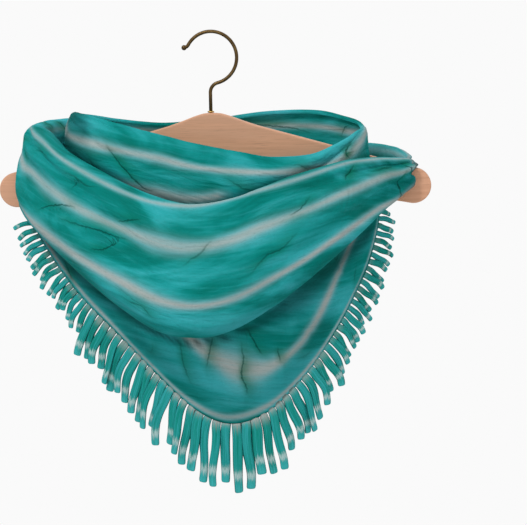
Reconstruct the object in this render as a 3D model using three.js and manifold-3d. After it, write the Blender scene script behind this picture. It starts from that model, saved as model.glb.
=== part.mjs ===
// A fringed triangle scarf, wound twice round and filled out on a flat wooden hanger.
// Millimetres: +X is right for a viewer in front, +Y is back and +Z is up.
// The origin is the inside top of the hanger's wire hook, where a rail carries it.

import * as THREE from "three";
import { mergeVertices } from "three/addons/utils/BufferGeometryUtils.js";
import Module from "manifold-3d";

const wasm = await Module();
wasm.setup();

// Driving dimensions of the wooden hanger. The centre of each round end is HANGER_REACH out and at END_LEVEL,
// and the arch begins at UNDERSIDE_END degrees round it.
const HANGER_REACH = 204.4;
const END_RADIUS = 18;
const END_LEVEL = -156.7;
const WOOD_THICKNESS = 12;
const WOOD_CHAMFER = 1.2;
const SHOULDER_SLOPE = 0.28;
const SHOULDER_PLACES = [165, 110, 62];
const CROWN_TOP = -80.3;
const UNDERSIDE_END = 256;
const END_STEPS = 12;
const TOP_STEPS = 32;
const UNDERSIDE_STEPS = 16;

// Driving dimensions of the wire hook. HOOK_RADIUS is to the middle of the wire, and the arc runs from
// ARC_FROM to ARC_TO degrees.
const WIRE_RADIUS = 1.8;
const HOOK_RADIUS = 26.3;
const ARC_FROM = -76;
const ARC_TO = 150;
const ARC_STEPS = 20;
const STEM_X = -1.2;
const STEM_DEPTH = 28;
const STEM_LEVELS = [-96, -82, -68, -58];
const HOOK_STEPS = 50;
const TIP_BALL_RADIUS = 2.7;
const FIT_GAP = 0.3;
const COLLAR_RADIUS = 3.4;
const COLLAR_HEIGHT = 1.6;
const COLLAR_ROUNDING = 0.6;

// Driving dimensions of the cloth. HALF_SEAM is in stations. HEM_GAP parts the hem from the fringe's strip.
const CLOTH = 2;
const HALF_SEAM = 0.03;
const HEM_GAP = 0.7;
const STEPS_PER_STATION = 2;

// Driving dimensions of the fringe. HEM_STEP is in stations, and STRIP_STEPS is for each station.
const STRAND_THICKNESS = 2.2;
const STRAND_STEPS = 5;
const STRAND_LIFT = 2;
const STRAND_TAPER = 0.7;
const SPLAY_SPREAD = 0.18;
const BACKING_WIDTH = 3.2;
const BACKING_THICKNESS = 2.4;
const STRIP_STEPS = 4;
const ROOT_SHARE = 0.7;
const HEM_STEP = 0.15;

// Turns rows of numbers into rows with named columns.
function table(names, ...rows) {
  return rows.map((row) => Object.fromEntries(names.map((name, k) => [name, row[k]])));
}

// The outer loop, a row for each station: from the left arm round the front to the right arm and back behind.
// crest and low are the loop's top and bottom edges, and face is the direction of its outer side in degrees.
// roll and tuck are the half width and the inner depth of the rolled top edge. upper, valley and lower are
// how far the outer side stands out at three heights, and turn is how far the bottom edge turns in.
const OUTER_LOOP = table(
  [
    "crestX", "crestY", "crestZ", "lowX", "lowY", "lowZ", "face",
    "roll", "tuck", "upper", "valley", "lower", "turn",
  ],
  [-180, 0, -91, -199, 0, -134.4, 180, 6, 16, 9, 7, 3, 1],
  [-176, -9, -92, -200, -10, -138, 188, 7, 18, 11, 8, 4, 3],
  [-170, -17, -94, -197, -22, -166, 198, 8, 22, 13, 6, 7, 7],
  [-156, -38, -102, -185, -50, -180, 214, 8, 26, 12, 5, 9, 9],
  [-136, -62, -116, -157, -82, -201, 228, 8, 30, 11, 6, 12, 12],
  [-100, -95, -132, -116, -114, -231, 240, 8, 36, 12, 9, 16, 14],
  [-64, -122, -146, -76, -137, -258, 252, 8, 38, 14, 13, 21, 15],
  [-31, -140, -156, -39, -149, -279, 262, 7, 38, 15, 18, 24, 16],
  [-1, -148, -160, -5, -152, -284, 270, 7, 38, 16, 20, 25, 16],
  [32, -146, -155, 29, -148, -278, 279, 7, 36, 15, 20, 24, 16],
  [59, -134, -146, 63, -136, -260, 288, 7, 34, 13, 18, 22, 15],
  [94, -114, -135, 92, -118, -238, 300, 7, 30, 11, 15, 19, 13],
  [135, -80, -126, 131, -90, -206, 312, 6, 24, 9, 12, 14, 10],
  [165, -50, -125, 166, -56, -178, 322, 5, 16, 7, 9, 8, 7],
  [184, -28, -127, 187, -30, -167, 330, 4, 10, 5, 6, 4, 5],
  [196, -14, -129, 205, -15.5, -155.5, 340, 3, 6, 3, 3, 1, 3],
  [199, -9, -130.6, 200, -11.5, -148, 348, 2, 3, 2, 1, 0, 1],
  [199, -4, -131, 206, -9, -138.2, 354, 2, 2, 2, 2, 1, 1],
  [198, 3, -131, 209, 2, -136.4, 360, 2, 2, 2, 2, 1, 1],
  [198, 11, -131.2, 207, 10, -138.4, 366, 2, 2, 2, 2, 1, 1],
  [197, 26, -127.6, 204, 22, -150, 376, 4, 8, 4, 3, 4, 3],
  [185, 52, -121, 196, 46, -162, 394, 6, 16, 6, 4, 7, 6],
  [160, 84, -118.5, 172, 82, -188, 412, 7, 24, 9, 5, 11, 9],
  [110, 112, -117, 120, 116, -216, 430, 7, 28, 11, 7, 14, 12],
  [50, 127, -117, 54, 134, -232, 442, 7, 30, 12, 9, 16, 12],
  [-10, 130, -118, -8, 139, -238, 450, 7, 30, 13, 9, 17, 12],
  [-70, 126, -113, -72, 134, -233, 458, 7, 30, 12, 8, 16, 12],
  [-125, 107, -98, -134, 114, -220, 474, 8, 28, 11, 5, 14, 12],
  [-155, 82, -88, -172, 85, -202, 492, 8, 26, 10, 3, 12, 10],
  [-172, 45, -87.5, -191, 45, -184, 512, 8, 24, 10, 4, 10, 8],
  [-178, 22, -89.5, -199, 22, -164, 526, 7, 20, 9, 5, 7, 6],
  [-180, 9, -90.5, -200, 10, -138, 534, 6, 17, 8, 6, 5, 3],
);
const OUTER_RIGHT_ARM = 18;

// The points that a row's outer loop passes through, top to bottom. along is a share of the way from crest to
// low, or the row's own tuck depth where it is named. The point stands out by a share of the row's measure.
const OUTER_PROFILE = table(
  ["along", "measure", "share"],
  ["tuck", "roll", -1.5],
  ["halfTuck", "roll", -1.25],
  [0.015, "roll", -0.7],
  [0, "roll", 0],
  [0.03, "roll", 0.75],
  [0.12, "roll", 1.3],
  [0.25, "upper", 1],
  [0.45, "valley", 1],
  [0.7, "lower", 1],
  [0.9, "lower", 0.72],
  [0.985, "lower", 0.3],
  [1, "turn", -0.25],
  [0.97, "turn", -0.75],
  [0.9, "turn", -1],
);

// The inner ring, a row for each station: the scarf's triangle hangs in front from the neck edge to its
// fringed hem, and a plain band closes the ring behind. lip is the depth of the turned neck edge, and collar,
// belly and skirt are how far the cloth stands out at three heights.
const INNER_RING = table(
  ["rimX", "rimY", "rimZ", "hemX", "hemY", "hemZ", "face", "lip", "collar", "belly", "skirt"],
  [-141.5, 0, -78.5, -149, 0, -121.2, 180, 4, 4, 3, 1],
  [-140, -8, -77.5, -153, -10, -124, 190, 5, 4, 0, -1],
  [-137, -20, -78, -170, -20, -162, 204, 6, 3, -10, -8],
  [-129, -35, -78.5, -181, -30, -189, 216, 6, 3, -14, -13],
  [-110, -53, -82, -161, -48, -221, 228, 6, 5, -8, -9],
  [-88, -67, -87, -130, -70, -256, 238, 6, 6, 0, -2],
  [-62, -79, -93, -94, -88, -288, 248, 6, 7, 4, 3],
  [-36, -88, -99, -55, -104, -324, 256, 6, 7, 7, 6],
  [-12, -93, -105, -16, -116, -358, 264, 6, 7, 9, 8],
  [13, -95, -110, 21, -120, -375, 272, 6, 7, 9, 9],
  [38, -94, -115.5, 58, -116, -366, 280, 6, 7, 9, 8],
  [60, -91, -120, 91, -102, -338, 288, 6, 6, 7, 6],
  [84, -83, -120.5, 120, -84, -301, 298, 6, 5, 3, 2],
  [105, -74, -119, 144, -60, -261, 308, 6, 4, -1, -2],
  [122, -60, -113.5, 160, -40, -226, 318, 6, 3, -3, -4],
  [136, -45, -107, 169, -24, -186, 326, 5, 3, -2, -3],
  [147, -23, -101, 165, -13, -152, 340, 4, 3, 1, 0],
  [152, -9, -98.5, 159.5, -9.5, -125.5, 352, 4, 3, 2, 1],
  [153, 0, -97, 158.5, 0, -123.6, 360, 3, 3, 2, 1],
  [153, 9, -95.5, 158.5, 9.5, -125.5, 368, 3, 3, 2, 1],
  [148, 26, -91.5, 156, 27, -168, 380, 3, 4, 3, 2],
  [134, 48, -88, 143, 50, -182, 396, 3, 5, 5, 3],
  [104, 72, -82.5, 110, 76, -188, 416, 3, 6, 6, 4],
  [54, 90, -83, 56, 96, -190, 436, 3, 7, 7, 5],
  [-6, 95, -90, -6, 102, -192, 450, 3, 7, 7, 5],
  [-60, 88, -93.5, -62, 95, -190, 464, 3, 7, 7, 5],
  [-108, 68, -88, -116, 73, -184, 486, 3, 6, 5, 3],
  [-133, 42, -82.5, -142, 44, -174, 506, 3, 5, 4, 2],
  [-141, 22, -80, -149, 22, -158, 522, 3, 4, 3, 2],
  [-142, 9, -79, -150, 9.5, -125, 532, 3, 4, 2, 1],
);
const INNER_RIGHT_ARM = 18;

const INNER_PROFILE = table(
  ["along", "measure", "share"],
  ["lip", "lip", -0.75],
  ["halfLip", "lip", -0.7],
  [0.01, "lip", -0.4],
  [0, "lip", 0],
  [0.03, "lip", 0.35],
  [0.1, "collar", 0.75],
  [0.25, "collar", 1],
  [0.5, "belly", 1],
  [0.78, "skirt", 1],
  [0.93, "skirt", 0.4],
  [1, "skirt", 0],
);

// Folds drawn on the outer loop, a row for each. It runs from one place to another, in stations along the
// loop and in shares of its depth. It stands out by height, or sinks in where height is negative.
const OUTER_FOLDS = table(
  ["fromAlong", "fromDown", "toAlong", "toDown", "width", "height"],
  [16.5, 0.5, 9, 0.52, 0.05, 5],
  [16.5, 0.55, 7, 0.68, 0.05, -4],
  [16.2, 0.62, 10, 0.8, 0.05, 4],
  [16, 0.42, 10.5, 0.4, 0.04, -4],
  [1, 0.42, 5.5, 0.47, 0.035, -5],
  [0.5, 0.62, 4.5, 0.7, 0.04, 3],
  [20, 0.5, 26, 0.55, 0.05, 4],
  [20, 0.65, 24, 0.75, 0.05, -4],
  [31, 0.5, 27, 0.5, 0.04, -4],
  [31, 0.65, 26.5, 0.72, 0.05, 4],
);

const INNER_FOLDS = table(
  ["fromAlong", "fromDown", "toAlong", "toDown", "width", "height"],
  [2.2, 0.35, 6, 0.5, 0.04, 3],
  [14, 0.4, 9, 0.52, 0.045, 3.5],
  [6, 0.62, 7.4, 0.9, 0.05, 2.5],
  [11.5, 0.6, 10.4, 0.88, 0.05, 2.5],
  [21, 0.4, 26, 0.5, 0.06, 3],
  [27, 0.55, 22, 0.7, 0.06, -3],
);

// One Catmull-Rom value between b and c, at share t.
function smoothValue(a, b, c, d, t) {
  const bend = 2 * a - 5 * b + 4 * c - d;
  const twist = -a + 3 * b - 3 * c + d;
  return 0.5 * (2 * b + (c - a) * t + bend * t * t + twist * t * t * t);
}

// The row of a ring at any place along it: rows in between flow smoothly, and the ring closes on itself.
function rowAt(rows, along) {
  const base = Math.floor(along);
  const near = [-1, 0, 1, 2].map((step) => {
    const turns = Math.floor((base + step) / rows.length);
    const row = rows[base + step - turns * rows.length];
    return { ...row, face: row.face + 360 * turns };
  });
  const names = Object.keys(rows[0]);
  return Object.fromEntries(names.map((name) => [
    name,
    smoothValue(...near.map((row) => row[name]), along - base),
  ]));
}

// A point between b and c of a run of points, with knots spaced by the root of each chord, so it never loops.
function pointBetween([a, b, c, d], t) {
  const knots = [0];
  [a, b, c].forEach((point, k) => {
    knots.push(knots[k] + Math.sqrt(point.distanceTo([b, c, d][k])) + 1e-6);
  });
  const at = knots[1] + (knots[2] - knots[1]) * t;
  const blend = (p, q, from, to) => p.clone().lerp(q, (at - knots[from]) / (knots[to] - knots[from]));
  const ab = blend(a, b, 0, 1);
  const bc = blend(b, c, 1, 2);
  const cd = blend(c, d, 2, 3);
  return blend(blend(ab, bc, 0, 2), blend(bc, cd, 1, 3), 1, 2);
}

// The point of a run of points at share t of its way, with its ends carried on straight.
function pointAlong(points, t) {
  const place = Math.min(t, 0.99999) * (points.length - 1);
  const k = Math.floor(place);
  const before = points[k - 1] ?? points[0].clone().multiplyScalar(2).sub(points[1]);
  const last = points.length - 1;
  const after = points[k + 2] ?? points[last].clone().multiplyScalar(2).sub(points[last - 1]);
  return pointBetween([before, points[k], points[k + 1], after], place - k);
}

// The points that a ring's profile passes through at one station.
function profilePoints(row, profile, top, bottom) {
  const down = bottom.clone().sub(top);
  const length = down.length();
  down.normalize();
  const turn = THREE.MathUtils.degToRad(row.face);
  const out = new THREE.Vector3(Math.cos(turn), Math.sin(turn), 0);
  out.addScaledVector(down, -out.dot(down)).normalize();
  const depths = { tuck: row.tuck, halfTuck: row.tuck / 2, lip: row.lip, halfLip: row.lip / 2 };
  return profile.map(({ along, measure, share }) => {
    const depth = depths[along] ?? along * length;
    return top.clone().addScaledVector(down, depth).addScaledVector(out, share * row[measure]);
  });
}

// How far the drawn folds stand out at one place of a ring.
function foldHeight(folds, along, down) {
  let height = 0;
  for (const fold of folds) {
    const reach = fold.toAlong - fold.fromAlong;
    const share = (along - fold.fromAlong) / reach;
    if (share <= 0 || share >= 1) continue;
    const middle = fold.fromDown + (fold.toDown - fold.fromDown) * share;
    const off = (down - middle) / fold.width;
    height += fold.height * Math.exp(-off * off) * Math.sin(Math.PI * share) ** 0.7;
  }
  return height;
}

// A point of the outer loop: along in stations, down from 0 at the tucked edge to 1 at the turned-in one.
function outerPoint(along, down) {
  const row = rowAt(OUTER_LOOP, along);
  const crest = new THREE.Vector3(row.crestX, row.crestY, row.crestZ);
  const low = new THREE.Vector3(row.lowX, row.lowY, row.lowZ);
  return pointAlong(profilePoints(row, OUTER_PROFILE, crest, low), down);
}

// A point of the inner ring: down from 0 at the turned neck edge to 1 at the hem.
function innerPoint(along, down) {
  const row = rowAt(INNER_RING, along);
  const rim = new THREE.Vector3(row.rimX, row.rimY, row.rimZ);
  const hem = new THREE.Vector3(row.hemX, row.hemY, row.hemZ);
  return pointAlong(profilePoints(row, INNER_PROFILE, rim, hem), down);
}

// The direction that a surface's outer side faces at one place.
function facing(point, along, down) {
  const step = 0.01;
  const acrossIt = point(along + step, down).sub(point(along - step, down));
  const downIt = point(along, Math.min(down + step, 1)).sub(point(along, Math.max(down - step, 0)));
  return downIt.cross(acrossIt).normalize();
}

// A ring's point with the drawn folds raised on it.
function folded(point, folds) {
  return (along, down) => point(along, down)
    .addScaledVector(facing(point, along, down), foldHeight(folds, along, down));
}

// Evenly spaced places from one to another, both ends included.
function places(from, to, steps) {
  return Array.from({ length: steps + 1 }, (_, k) => from + ((to - from) * k) / steps);
}

// A lattice over a surface between two stations: a line of points down the cloth for each place along it, and
// for each point the direction that its outer side faces.
function stretch(surface, from, to, downSteps) {
  const alongSteps = Math.round((to - from) * STEPS_PER_STATION);
  return places(from, to, alongSteps).map((along) => places(0, 1, downSteps).map((down) => ({
    at: surface(along, down),
    out: facing(surface, along, down),
  })));
}

// A closed wall of even thickness about a lattice.
function wall(lattice, thickness) {
  const lines = lattice.length;
  const count = lattice[0].length;
  const positions = [0.5, -0.5].flatMap((side) => lattice.flat().flatMap(
    ({ at, out }) => at.clone().addScaledVector(out, side * thickness).toArray(),
  ));
  const outer = (i, j) => i * count + j;
  const inner = (i, j) => lines * count + i * count + j;
  const indices = [];
  const quad = (a, b, c, d) => indices.push(a, b, c, a, c, d);
  for (let i = 0; i < lines - 1; i++) {
    for (let j = 0; j < count - 1; j++) {
      quad(outer(i, j), outer(i, j + 1), outer(i + 1, j + 1), outer(i + 1, j));
      quad(inner(i, j), inner(i + 1, j), inner(i + 1, j + 1), inner(i, j + 1));
    }
  }
  for (let i = 0; i < lines - 1; i++) {
    quad(outer(i, 0), outer(i + 1, 0), inner(i + 1, 0), inner(i, 0));
    quad(outer(i + 1, count - 1), outer(i, count - 1), inner(i, count - 1), inner(i + 1, count - 1));
  }
  for (let j = 0; j < count - 1; j++) {
    quad(outer(0, j + 1), outer(0, j), inner(0, j), inner(0, j + 1));
    quad(outer(lines - 1, j), outer(lines - 1, j + 1), inner(lines - 1, j + 1), inner(lines - 1, j));
  }
  const geometry = new THREE.BufferGeometry();
  geometry.setAttribute("position", new THREE.Float32BufferAttribute(positions, 3));
  geometry.setIndex(indices);
  return geometry;
}

const hemSurface = folded(innerPoint, INNER_FOLDS);
const loopSurface = folded(outerPoint, OUTER_FOLDS);

// A closed geometry as a solid that can be cut and joined.
function solidOf(geometry) {
  const plain = geometry.clone();
  plain.deleteAttribute("normal");
  plain.deleteAttribute("uv");
  const merged = mergeVertices(plain, 1e-4);
  return new wasm.Manifold(new wasm.Mesh({
    numProp: 3,
    vertProperties: new Float32Array(merged.attributes.position.array),
    triVerts: new Uint32Array(merged.index.array),
  }));
}

function geometryOf(solid) {
  const mesh = solid.getMesh();
  const geometry = new THREE.BufferGeometry();
  geometry.setAttribute("position", new THREE.Float32BufferAttribute(mesh.vertProperties, 3));
  geometry.setIndex(Array.from(mesh.triVerts));
  return geometry;
}

// Points round one of the board's ends, from one angle to another, in degrees.
function endArc(centreX, from, to) {
  return places(from, to, END_STEPS).map((angle) => {
    const turn = THREE.MathUtils.degToRad(angle);
    return new THREE.Vector2(centreX, END_LEVEL)
      .add(new THREE.Vector2(Math.cos(turn), Math.sin(turn)).multiplyScalar(END_RADIUS));
  });
}

// The humped crown and the arch of the underside, to the right of the middle.
const CROWN = table(["x", "z"], [46, -93.6], [31, -88.5], [19, -84], [9, -81.1]);
const ARCH = table(["x", "z"], [0, -142], [60, -146], [120, -157], [170, -168.8]);

// The flat board, with straight shoulders and round ends, drilled for the stem.
function hangerBoard() {
  const tilt = THREE.MathUtils.radToDeg(Math.atan(SHOULDER_SLOPE));
  const rightEnd = endArc(HANGER_REACH, 90 - tilt, UNDERSIDE_END - 360);
  const leftEnd = rightEnd.map(({ x, y }) => new THREE.Vector2(-x, y)).reverse();
  const { x: shoulderX, y: shoulderZ } = rightEnd[0];
  const slope = SHOULDER_PLACES.map(
    (x) => new THREE.Vector2(x, shoulderZ + SHOULDER_SLOPE * (shoulderX - x)),
  );
  const crown = CROWN.map(({ x, z }) => new THREE.Vector2(x, z));
  const right = [rightEnd[0], ...slope, ...crown];
  const left = right.map(({ x, y }) => new THREE.Vector2(-x, y));
  const top = new THREE.SplineCurve([...left, new THREE.Vector2(0, CROWN_TOP), ...right.reverse()]);
  const rightArch = ARCH.map(({ x, z }) => new THREE.Vector2(x, z)).reverse();
  const leftArch = ARCH.slice(1).map(({ x, z }) => new THREE.Vector2(-x, z));
  const underside = new THREE.SplineCurve([rightEnd[END_STEPS], ...rightArch, ...leftArch, leftEnd[0]]);
  const outline = new THREE.Shape([
    ...top.getPoints(TOP_STEPS),
    ...rightEnd.slice(1),
    ...underside.getPoints(UNDERSIDE_STEPS).slice(1),
    ...leftEnd.slice(1, -1),
  ]);
  const board = new THREE.ExtrudeGeometry(outline, {
    depth: WOOD_THICKNESS - 2 * WOOD_CHAMFER,
    bevelEnabled: true,
    bevelThickness: WOOD_CHAMFER,
    bevelSize: WOOD_CHAMFER,
    bevelOffset: -WOOD_CHAMFER,
    bevelSegments: 1,
  });
  board.rotateX(Math.PI / 2);
  board.translate(0, WOOD_THICKNESS / 2 - WOOD_CHAMFER, 0);
  const drillRadius = WIRE_RADIUS + FIT_GAP;
  const drill = new THREE.CylinderGeometry(drillRadius, drillRadius, 2 * STEM_DEPTH, 16);
  drill.rotateX(Math.PI / 2);
  drill.translate(STEM_X, 0, CROWN_TOP - FIT_GAP);
  return geometryOf(solidOf(board).subtract(solidOf(drill)));
}

// The wire: a stem out of the wood, a tight bend, a long round arc and a turned tip with a small ball on it.
function hangerHook() {
  const centre = new THREE.Vector3(0, 0, WIRE_RADIUS - HOOK_RADIUS);
  const foot = CROWN_TOP - STEM_DEPTH + 1;
  const bend = new THREE.Vector3(STEM_X + 0.7, 0, -54.6);
  const tipTurn = new THREE.Vector3(-25.4, 0, -12.4);
  const tip = new THREE.Vector3(-29.5, 0, -14);
  const arc = places(ARC_FROM, ARC_TO, ARC_STEPS).map((angle) => {
    const turn = THREE.MathUtils.degToRad(angle);
    return new THREE.Vector3(Math.cos(turn), 0, Math.sin(turn)).multiplyScalar(HOOK_RADIUS).add(centre);
  });
  const stem = [foot, ...STEM_LEVELS].map((z) => new THREE.Vector3(STEM_X, 0, z));
  const path = [...stem, bend, ...arc, tipTurn, tip];
  const section = new THREE.Shape().absarc(0, 0, WIRE_RADIUS, 0, 2 * Math.PI);
  const wire = new THREE.ExtrudeGeometry(section, {
    steps: HOOK_STEPS,
    curveSegments: 4,
    extrudePath: new THREE.CatmullRomCurve3(path, false, "centripetal"),
  });
  const ball = new THREE.SphereGeometry(TIP_BALL_RADIUS, 10, 7);
  ball.translate(tip.x, tip.y, tip.z);
  return geometryOf(solidOf(wire).add(solidOf(ball)));
}

// The small ring that finishes the drilled hole round the stem.
function stemCollar() {
  const inside = WIRE_RADIUS + FIT_GAP;
  const profile = [
    [inside, 0],
    [COLLAR_RADIUS, 0],
    [COLLAR_RADIUS, COLLAR_HEIGHT - COLLAR_ROUNDING],
    [COLLAR_RADIUS - COLLAR_ROUNDING, COLLAR_HEIGHT],
    [inside, COLLAR_HEIGHT],
    [inside, 0],
  ];
  const ring = new THREE.LatheGeometry(profile.map(([r, z]) => new THREE.Vector2(r, z)), 20);
  ring.rotateX(Math.PI / 2);
  ring.translate(STEM_X, 0, CROWN_TOP + FIT_GAP);
  return ring;
}

// Stations of the hem a strand's pitch apart, from one station of the inner ring to another.
function strandStations(from, to, pitch) {
  const stations = [];
  const step = 0.01;
  let walked = pitch / 2;
  for (let along = from; along < to; along += step) {
    walked += innerPoint(along, 1).distanceTo(innerPoint(along + step, 1));
    if (walked >= pitch) {
      stations.push(along);
      walked -= pitch;
    }
  }
  return stations;
}

// A number from 0 to 1 that is always the same for the same strand.
function scatter(seed) {
  const wave = Math.sin(seed * 127.1 + 11.7) * 43758.5453;
  return wave - Math.floor(wave);
}

// The hem at one station: where it is, which way the fringe leaves it and which way its outer side faces.
function hemAt(along) {
  const at = hemSurface(along, 1);
  const out = facing(hemSurface, along, 1);
  const run = hemSurface(along + HEM_STEP, 1).sub(hemSurface(along - HEM_STEP, 1));
  const leave = run.cross(out).normalize();
  const downwards = at.clone().sub(hemSurface(along, 0.96));
  return { at, leave: leave.multiplyScalar(Math.sign(leave.dot(downwards))), out };
}

// One flat strand as a four-sided bar. It leaves the hem, tilted outwards by splay, and droops by its weight.
function strand(along, seed, length, width, splay, droop) {
  const { at, leave, out } = hemAt(along);
  const lean = splay + SPLAY_SPREAD * (scatter(seed + 0.2) - 0.5);
  const sideways = new THREE.Vector3(leave.x, leave.y, 0).multiplyScalar(lean);
  const start = leave.clone().add(sideways).normalize();
  const down = new THREE.Vector3(0, 0, -1);
  const lift = (seed % 2 === 0 ? 1 : -1) * STRAND_LIFT;
  const path = [at.clone().addScaledVector(leave, HEM_GAP + BACKING_WIDTH * ROOT_SHARE)];
  for (let k = 1; k <= STRAND_STEPS; k++) {
    const share = (k - 0.5) / STRAND_STEPS;
    const way = start.clone().lerp(down, droop * share * (0.85 + 0.3 * scatter(seed))).normalize();
    way.addScaledVector(out, (lift / length) * Math.cos((Math.PI / 2) * share) * Math.PI / 2);
    path.push(path[k - 1].clone().addScaledVector(way, length / STRAND_STEPS));
  }
  const lattice = [-0.5, 0.5].map((side) => path.map((point, k) => {
    const way = path[Math.min(k + 1, STRAND_STEPS)].clone().sub(path[Math.max(k - 1, 0)]).normalize();
    const across = out.clone().cross(way).normalize();
    const wide = width * (k === STRAND_STEPS ? STRAND_TAPER : 1);
    return { at: point.clone().addScaledVector(across, side * wide), out };
  }));
  return wall(lattice, STRAND_THICKNESS);
}

// A narrow strip just clear of the hem, with the strands of one run of the hem fused to it.
function fringe(run) {
  const { from, to, pitch, width, seed } = run;
  const strip = places(from, to, Math.round((to - from) * STRIP_STEPS)).map((along) => {
    const { at, leave, out } = hemAt(along);
    const edges = [HEM_GAP, HEM_GAP + BACKING_WIDTH];
    return edges.map((reach) => ({ at: at.clone().addScaledVector(leave, reach), out }));
  });
  const stations = strandStations(from, to, pitch);
  return geometryOf(stations.reduce((solid, along, k) => {
    const mix = (first, last) => first + ((last - first) * k) / (stations.length - 1);
    const length = mix(run.firstLength, run.lastLength) * (0.88 + 0.24 * scatter(seed + k + 0.5));
    const splay = mix(run.firstSplay, run.lastSplay);
    const droop = mix(run.firstDroop, run.lastDroop);
    return solid.add(solidOf(strand(along, seed + k, length, width, splay, droop)));
  }, solidOf(wall(strip, BACKING_THICKNESS))));
}

// The stretches of cloth that show, each between two stations of its ring.
const STRETCHES = table(
  ["name", "surface", "from", "to", "downSteps"],
  ["cowl_front", loopSurface, 0, OUTER_RIGHT_ARM, 20],
  ["shoulder_wrap_back", loopSurface, OUTER_RIGHT_ARM, OUTER_LOOP.length, 15],
  ["point_drape_front", hemSurface, 0, INNER_RIGHT_ARM, 15],
  ["neck_wrap_back", hemSurface, INNER_RIGHT_ARM, INNER_RING.length, 10],
);

// The four runs of fringe on the hem, from the left end round the point to the right end. Pitch is the distance
// from one strand to the next. The strands are finer and shorter towards both ends of the hem.
const FRINGES = table(
  [
    "name", "from", "to", "pitch", "width", "firstLength", "lastLength",
    "firstSplay", "lastSplay", "firstDroop", "lastDroop", "seed",
  ],
  ["fringe_left_upper", 2.87, 5.39, 7.4, 5.4, 19, 27, 0.6, 0.05, 0.4, 0.65, 0],
  ["fringe_left_lower", 5.41, 9.07, 9.2, 7.2, 44, 61, -0.05, -0.6, 0.7, 0.95, 20],
  ["fringe_right_lower", 9.1, 11.94, 9.2, 7.2, 61, 34, -0.6, -0.05, 0.95, 0.65, 40],
  ["fringe_right_upper", 11.96, 15.3, 7.6, 5.6, 29, 15, -0.05, 0.35, 0.6, 0.25, 60],
);

const MATERIALS = {
  cloth: new THREE.MeshStandardMaterial({ color: 0x1f9c93, roughness: 0.72, metalness: 0 }),
  wood: new THREE.MeshStandardMaterial({ color: 0xbc8f73, roughness: 0.6, metalness: 0 }),
  bronze: new THREE.MeshStandardMaterial({ color: 0x5d482c, roughness: 0.4, metalness: 1 }),
  brass: new THREE.MeshStandardMaterial({ color: 0xc9a45c, roughness: 0.35, metalness: 1 }),
};

const model = new THREE.Group();

function addPiece(name, geometry, material) {
  const mesh = new THREE.Mesh(geometry, material);
  mesh.name = name;
  model.add(mesh);
}

addPiece("hanger_body", hangerBoard(), MATERIALS.wood);
addPiece("hanger_hook", hangerHook(), MATERIALS.bronze);
addPiece("hook_collar", stemCollar(), MATERIALS.brass);

for (const { name, surface, from, to, downSteps } of STRETCHES) {
  const lattice = stretch(surface, from + HALF_SEAM, to - HALF_SEAM, downSteps);
  addPiece(name, wall(lattice, CLOTH), MATERIALS.cloth);
}

for (const run of FRINGES) {
  addPiece(run.name, fringe(run), MATERIALS.cloth);
}

export default model;
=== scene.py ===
# %% [markdown]
# # A fringed scarf wound over a wooden hanger
# A triangle of light, dyed cloth is wound twice round and filled out, as if it were worn. It hangs over
# a flat wooden hanger, and its fringed point hangs in front. The solids of the part give every place
# and size. This lesson dresses them: two thin sheets of cloth with their creases and dye, the loose
# strands of the fringe, the grain of the wood and the patina of the wire hook.

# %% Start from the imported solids
import math

import bmesh
import bpy
import numpy as np
from mathutils import Matrix, Vector, noise


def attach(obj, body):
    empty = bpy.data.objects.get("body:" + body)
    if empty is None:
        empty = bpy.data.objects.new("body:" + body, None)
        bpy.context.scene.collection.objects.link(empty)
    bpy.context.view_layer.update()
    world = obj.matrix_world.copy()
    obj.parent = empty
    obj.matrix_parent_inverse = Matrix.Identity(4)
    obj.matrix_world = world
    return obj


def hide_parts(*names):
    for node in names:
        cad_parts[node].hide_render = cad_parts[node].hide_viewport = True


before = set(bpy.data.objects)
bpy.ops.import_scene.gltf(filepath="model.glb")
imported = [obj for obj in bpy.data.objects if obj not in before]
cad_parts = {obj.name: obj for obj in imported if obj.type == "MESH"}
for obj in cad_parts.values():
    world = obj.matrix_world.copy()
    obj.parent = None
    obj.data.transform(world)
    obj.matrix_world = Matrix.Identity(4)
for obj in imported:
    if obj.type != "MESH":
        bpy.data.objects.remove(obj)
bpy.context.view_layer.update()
MM = 0.001
print("solids:", sorted(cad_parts))

# %% [markdown]
# ## Shader maths as plain expressions
# A finish is a small program of nodes. Written node by node it is long and hard to read, so a socket is
# wrapped in a class whose `+`, `-`, `*` and `/` each add one Math node. Every other node comes from one
# method, which takes its type, its settings and the values of its sockets. Colours go through Mix
# nodes, because a Math node would turn them grey.

# %% A value that varies over a surface
class Varying:
    def __init__(self, finish, socket):
        self.finish, self.socket = finish, socket

    def maths(self, operation, first, second=0.0):
        return self.finish.node("Math", {"operation": operation}, {0: first, 1: second})

    def __add__(self, other):
        return self.maths("ADD", self, other)

    def __sub__(self, other):
        return self.maths("SUBTRACT", self, other)

    def __rsub__(self, other):
        return self.maths("SUBTRACT", other, self)

    def __mul__(self, other):
        return self.maths("MULTIPLY", self, other)

    def __truediv__(self, other):
        return self.maths("DIVIDE", self, other)

    def size(self):
        return self.maths("ABSOLUTE", self)

    def rise(self, low, high):
        """0 up to low, 1 from high on, and a soft slope between."""
        return self.finish.node(
            "MapRange",
            {"interpolation_type": "SMOOTHSTEP"},
            {"Value": self, "From Min": low, "From Max": high},
        )

    __radd__ = __add__
    __rmul__ = __mul__


# %% A finish, built node by node
def colour(red, green, blue):
    """A screen colour, 0 to 255 a channel, as the linear colour that nodes use."""
    shares = (c / 255 for c in (red, green, blue))
    return (*(s / 12.92 if s < 0.04045 else ((s + 0.055) / 1.055) ** 2.4 for s in shares), 1.0)


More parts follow.
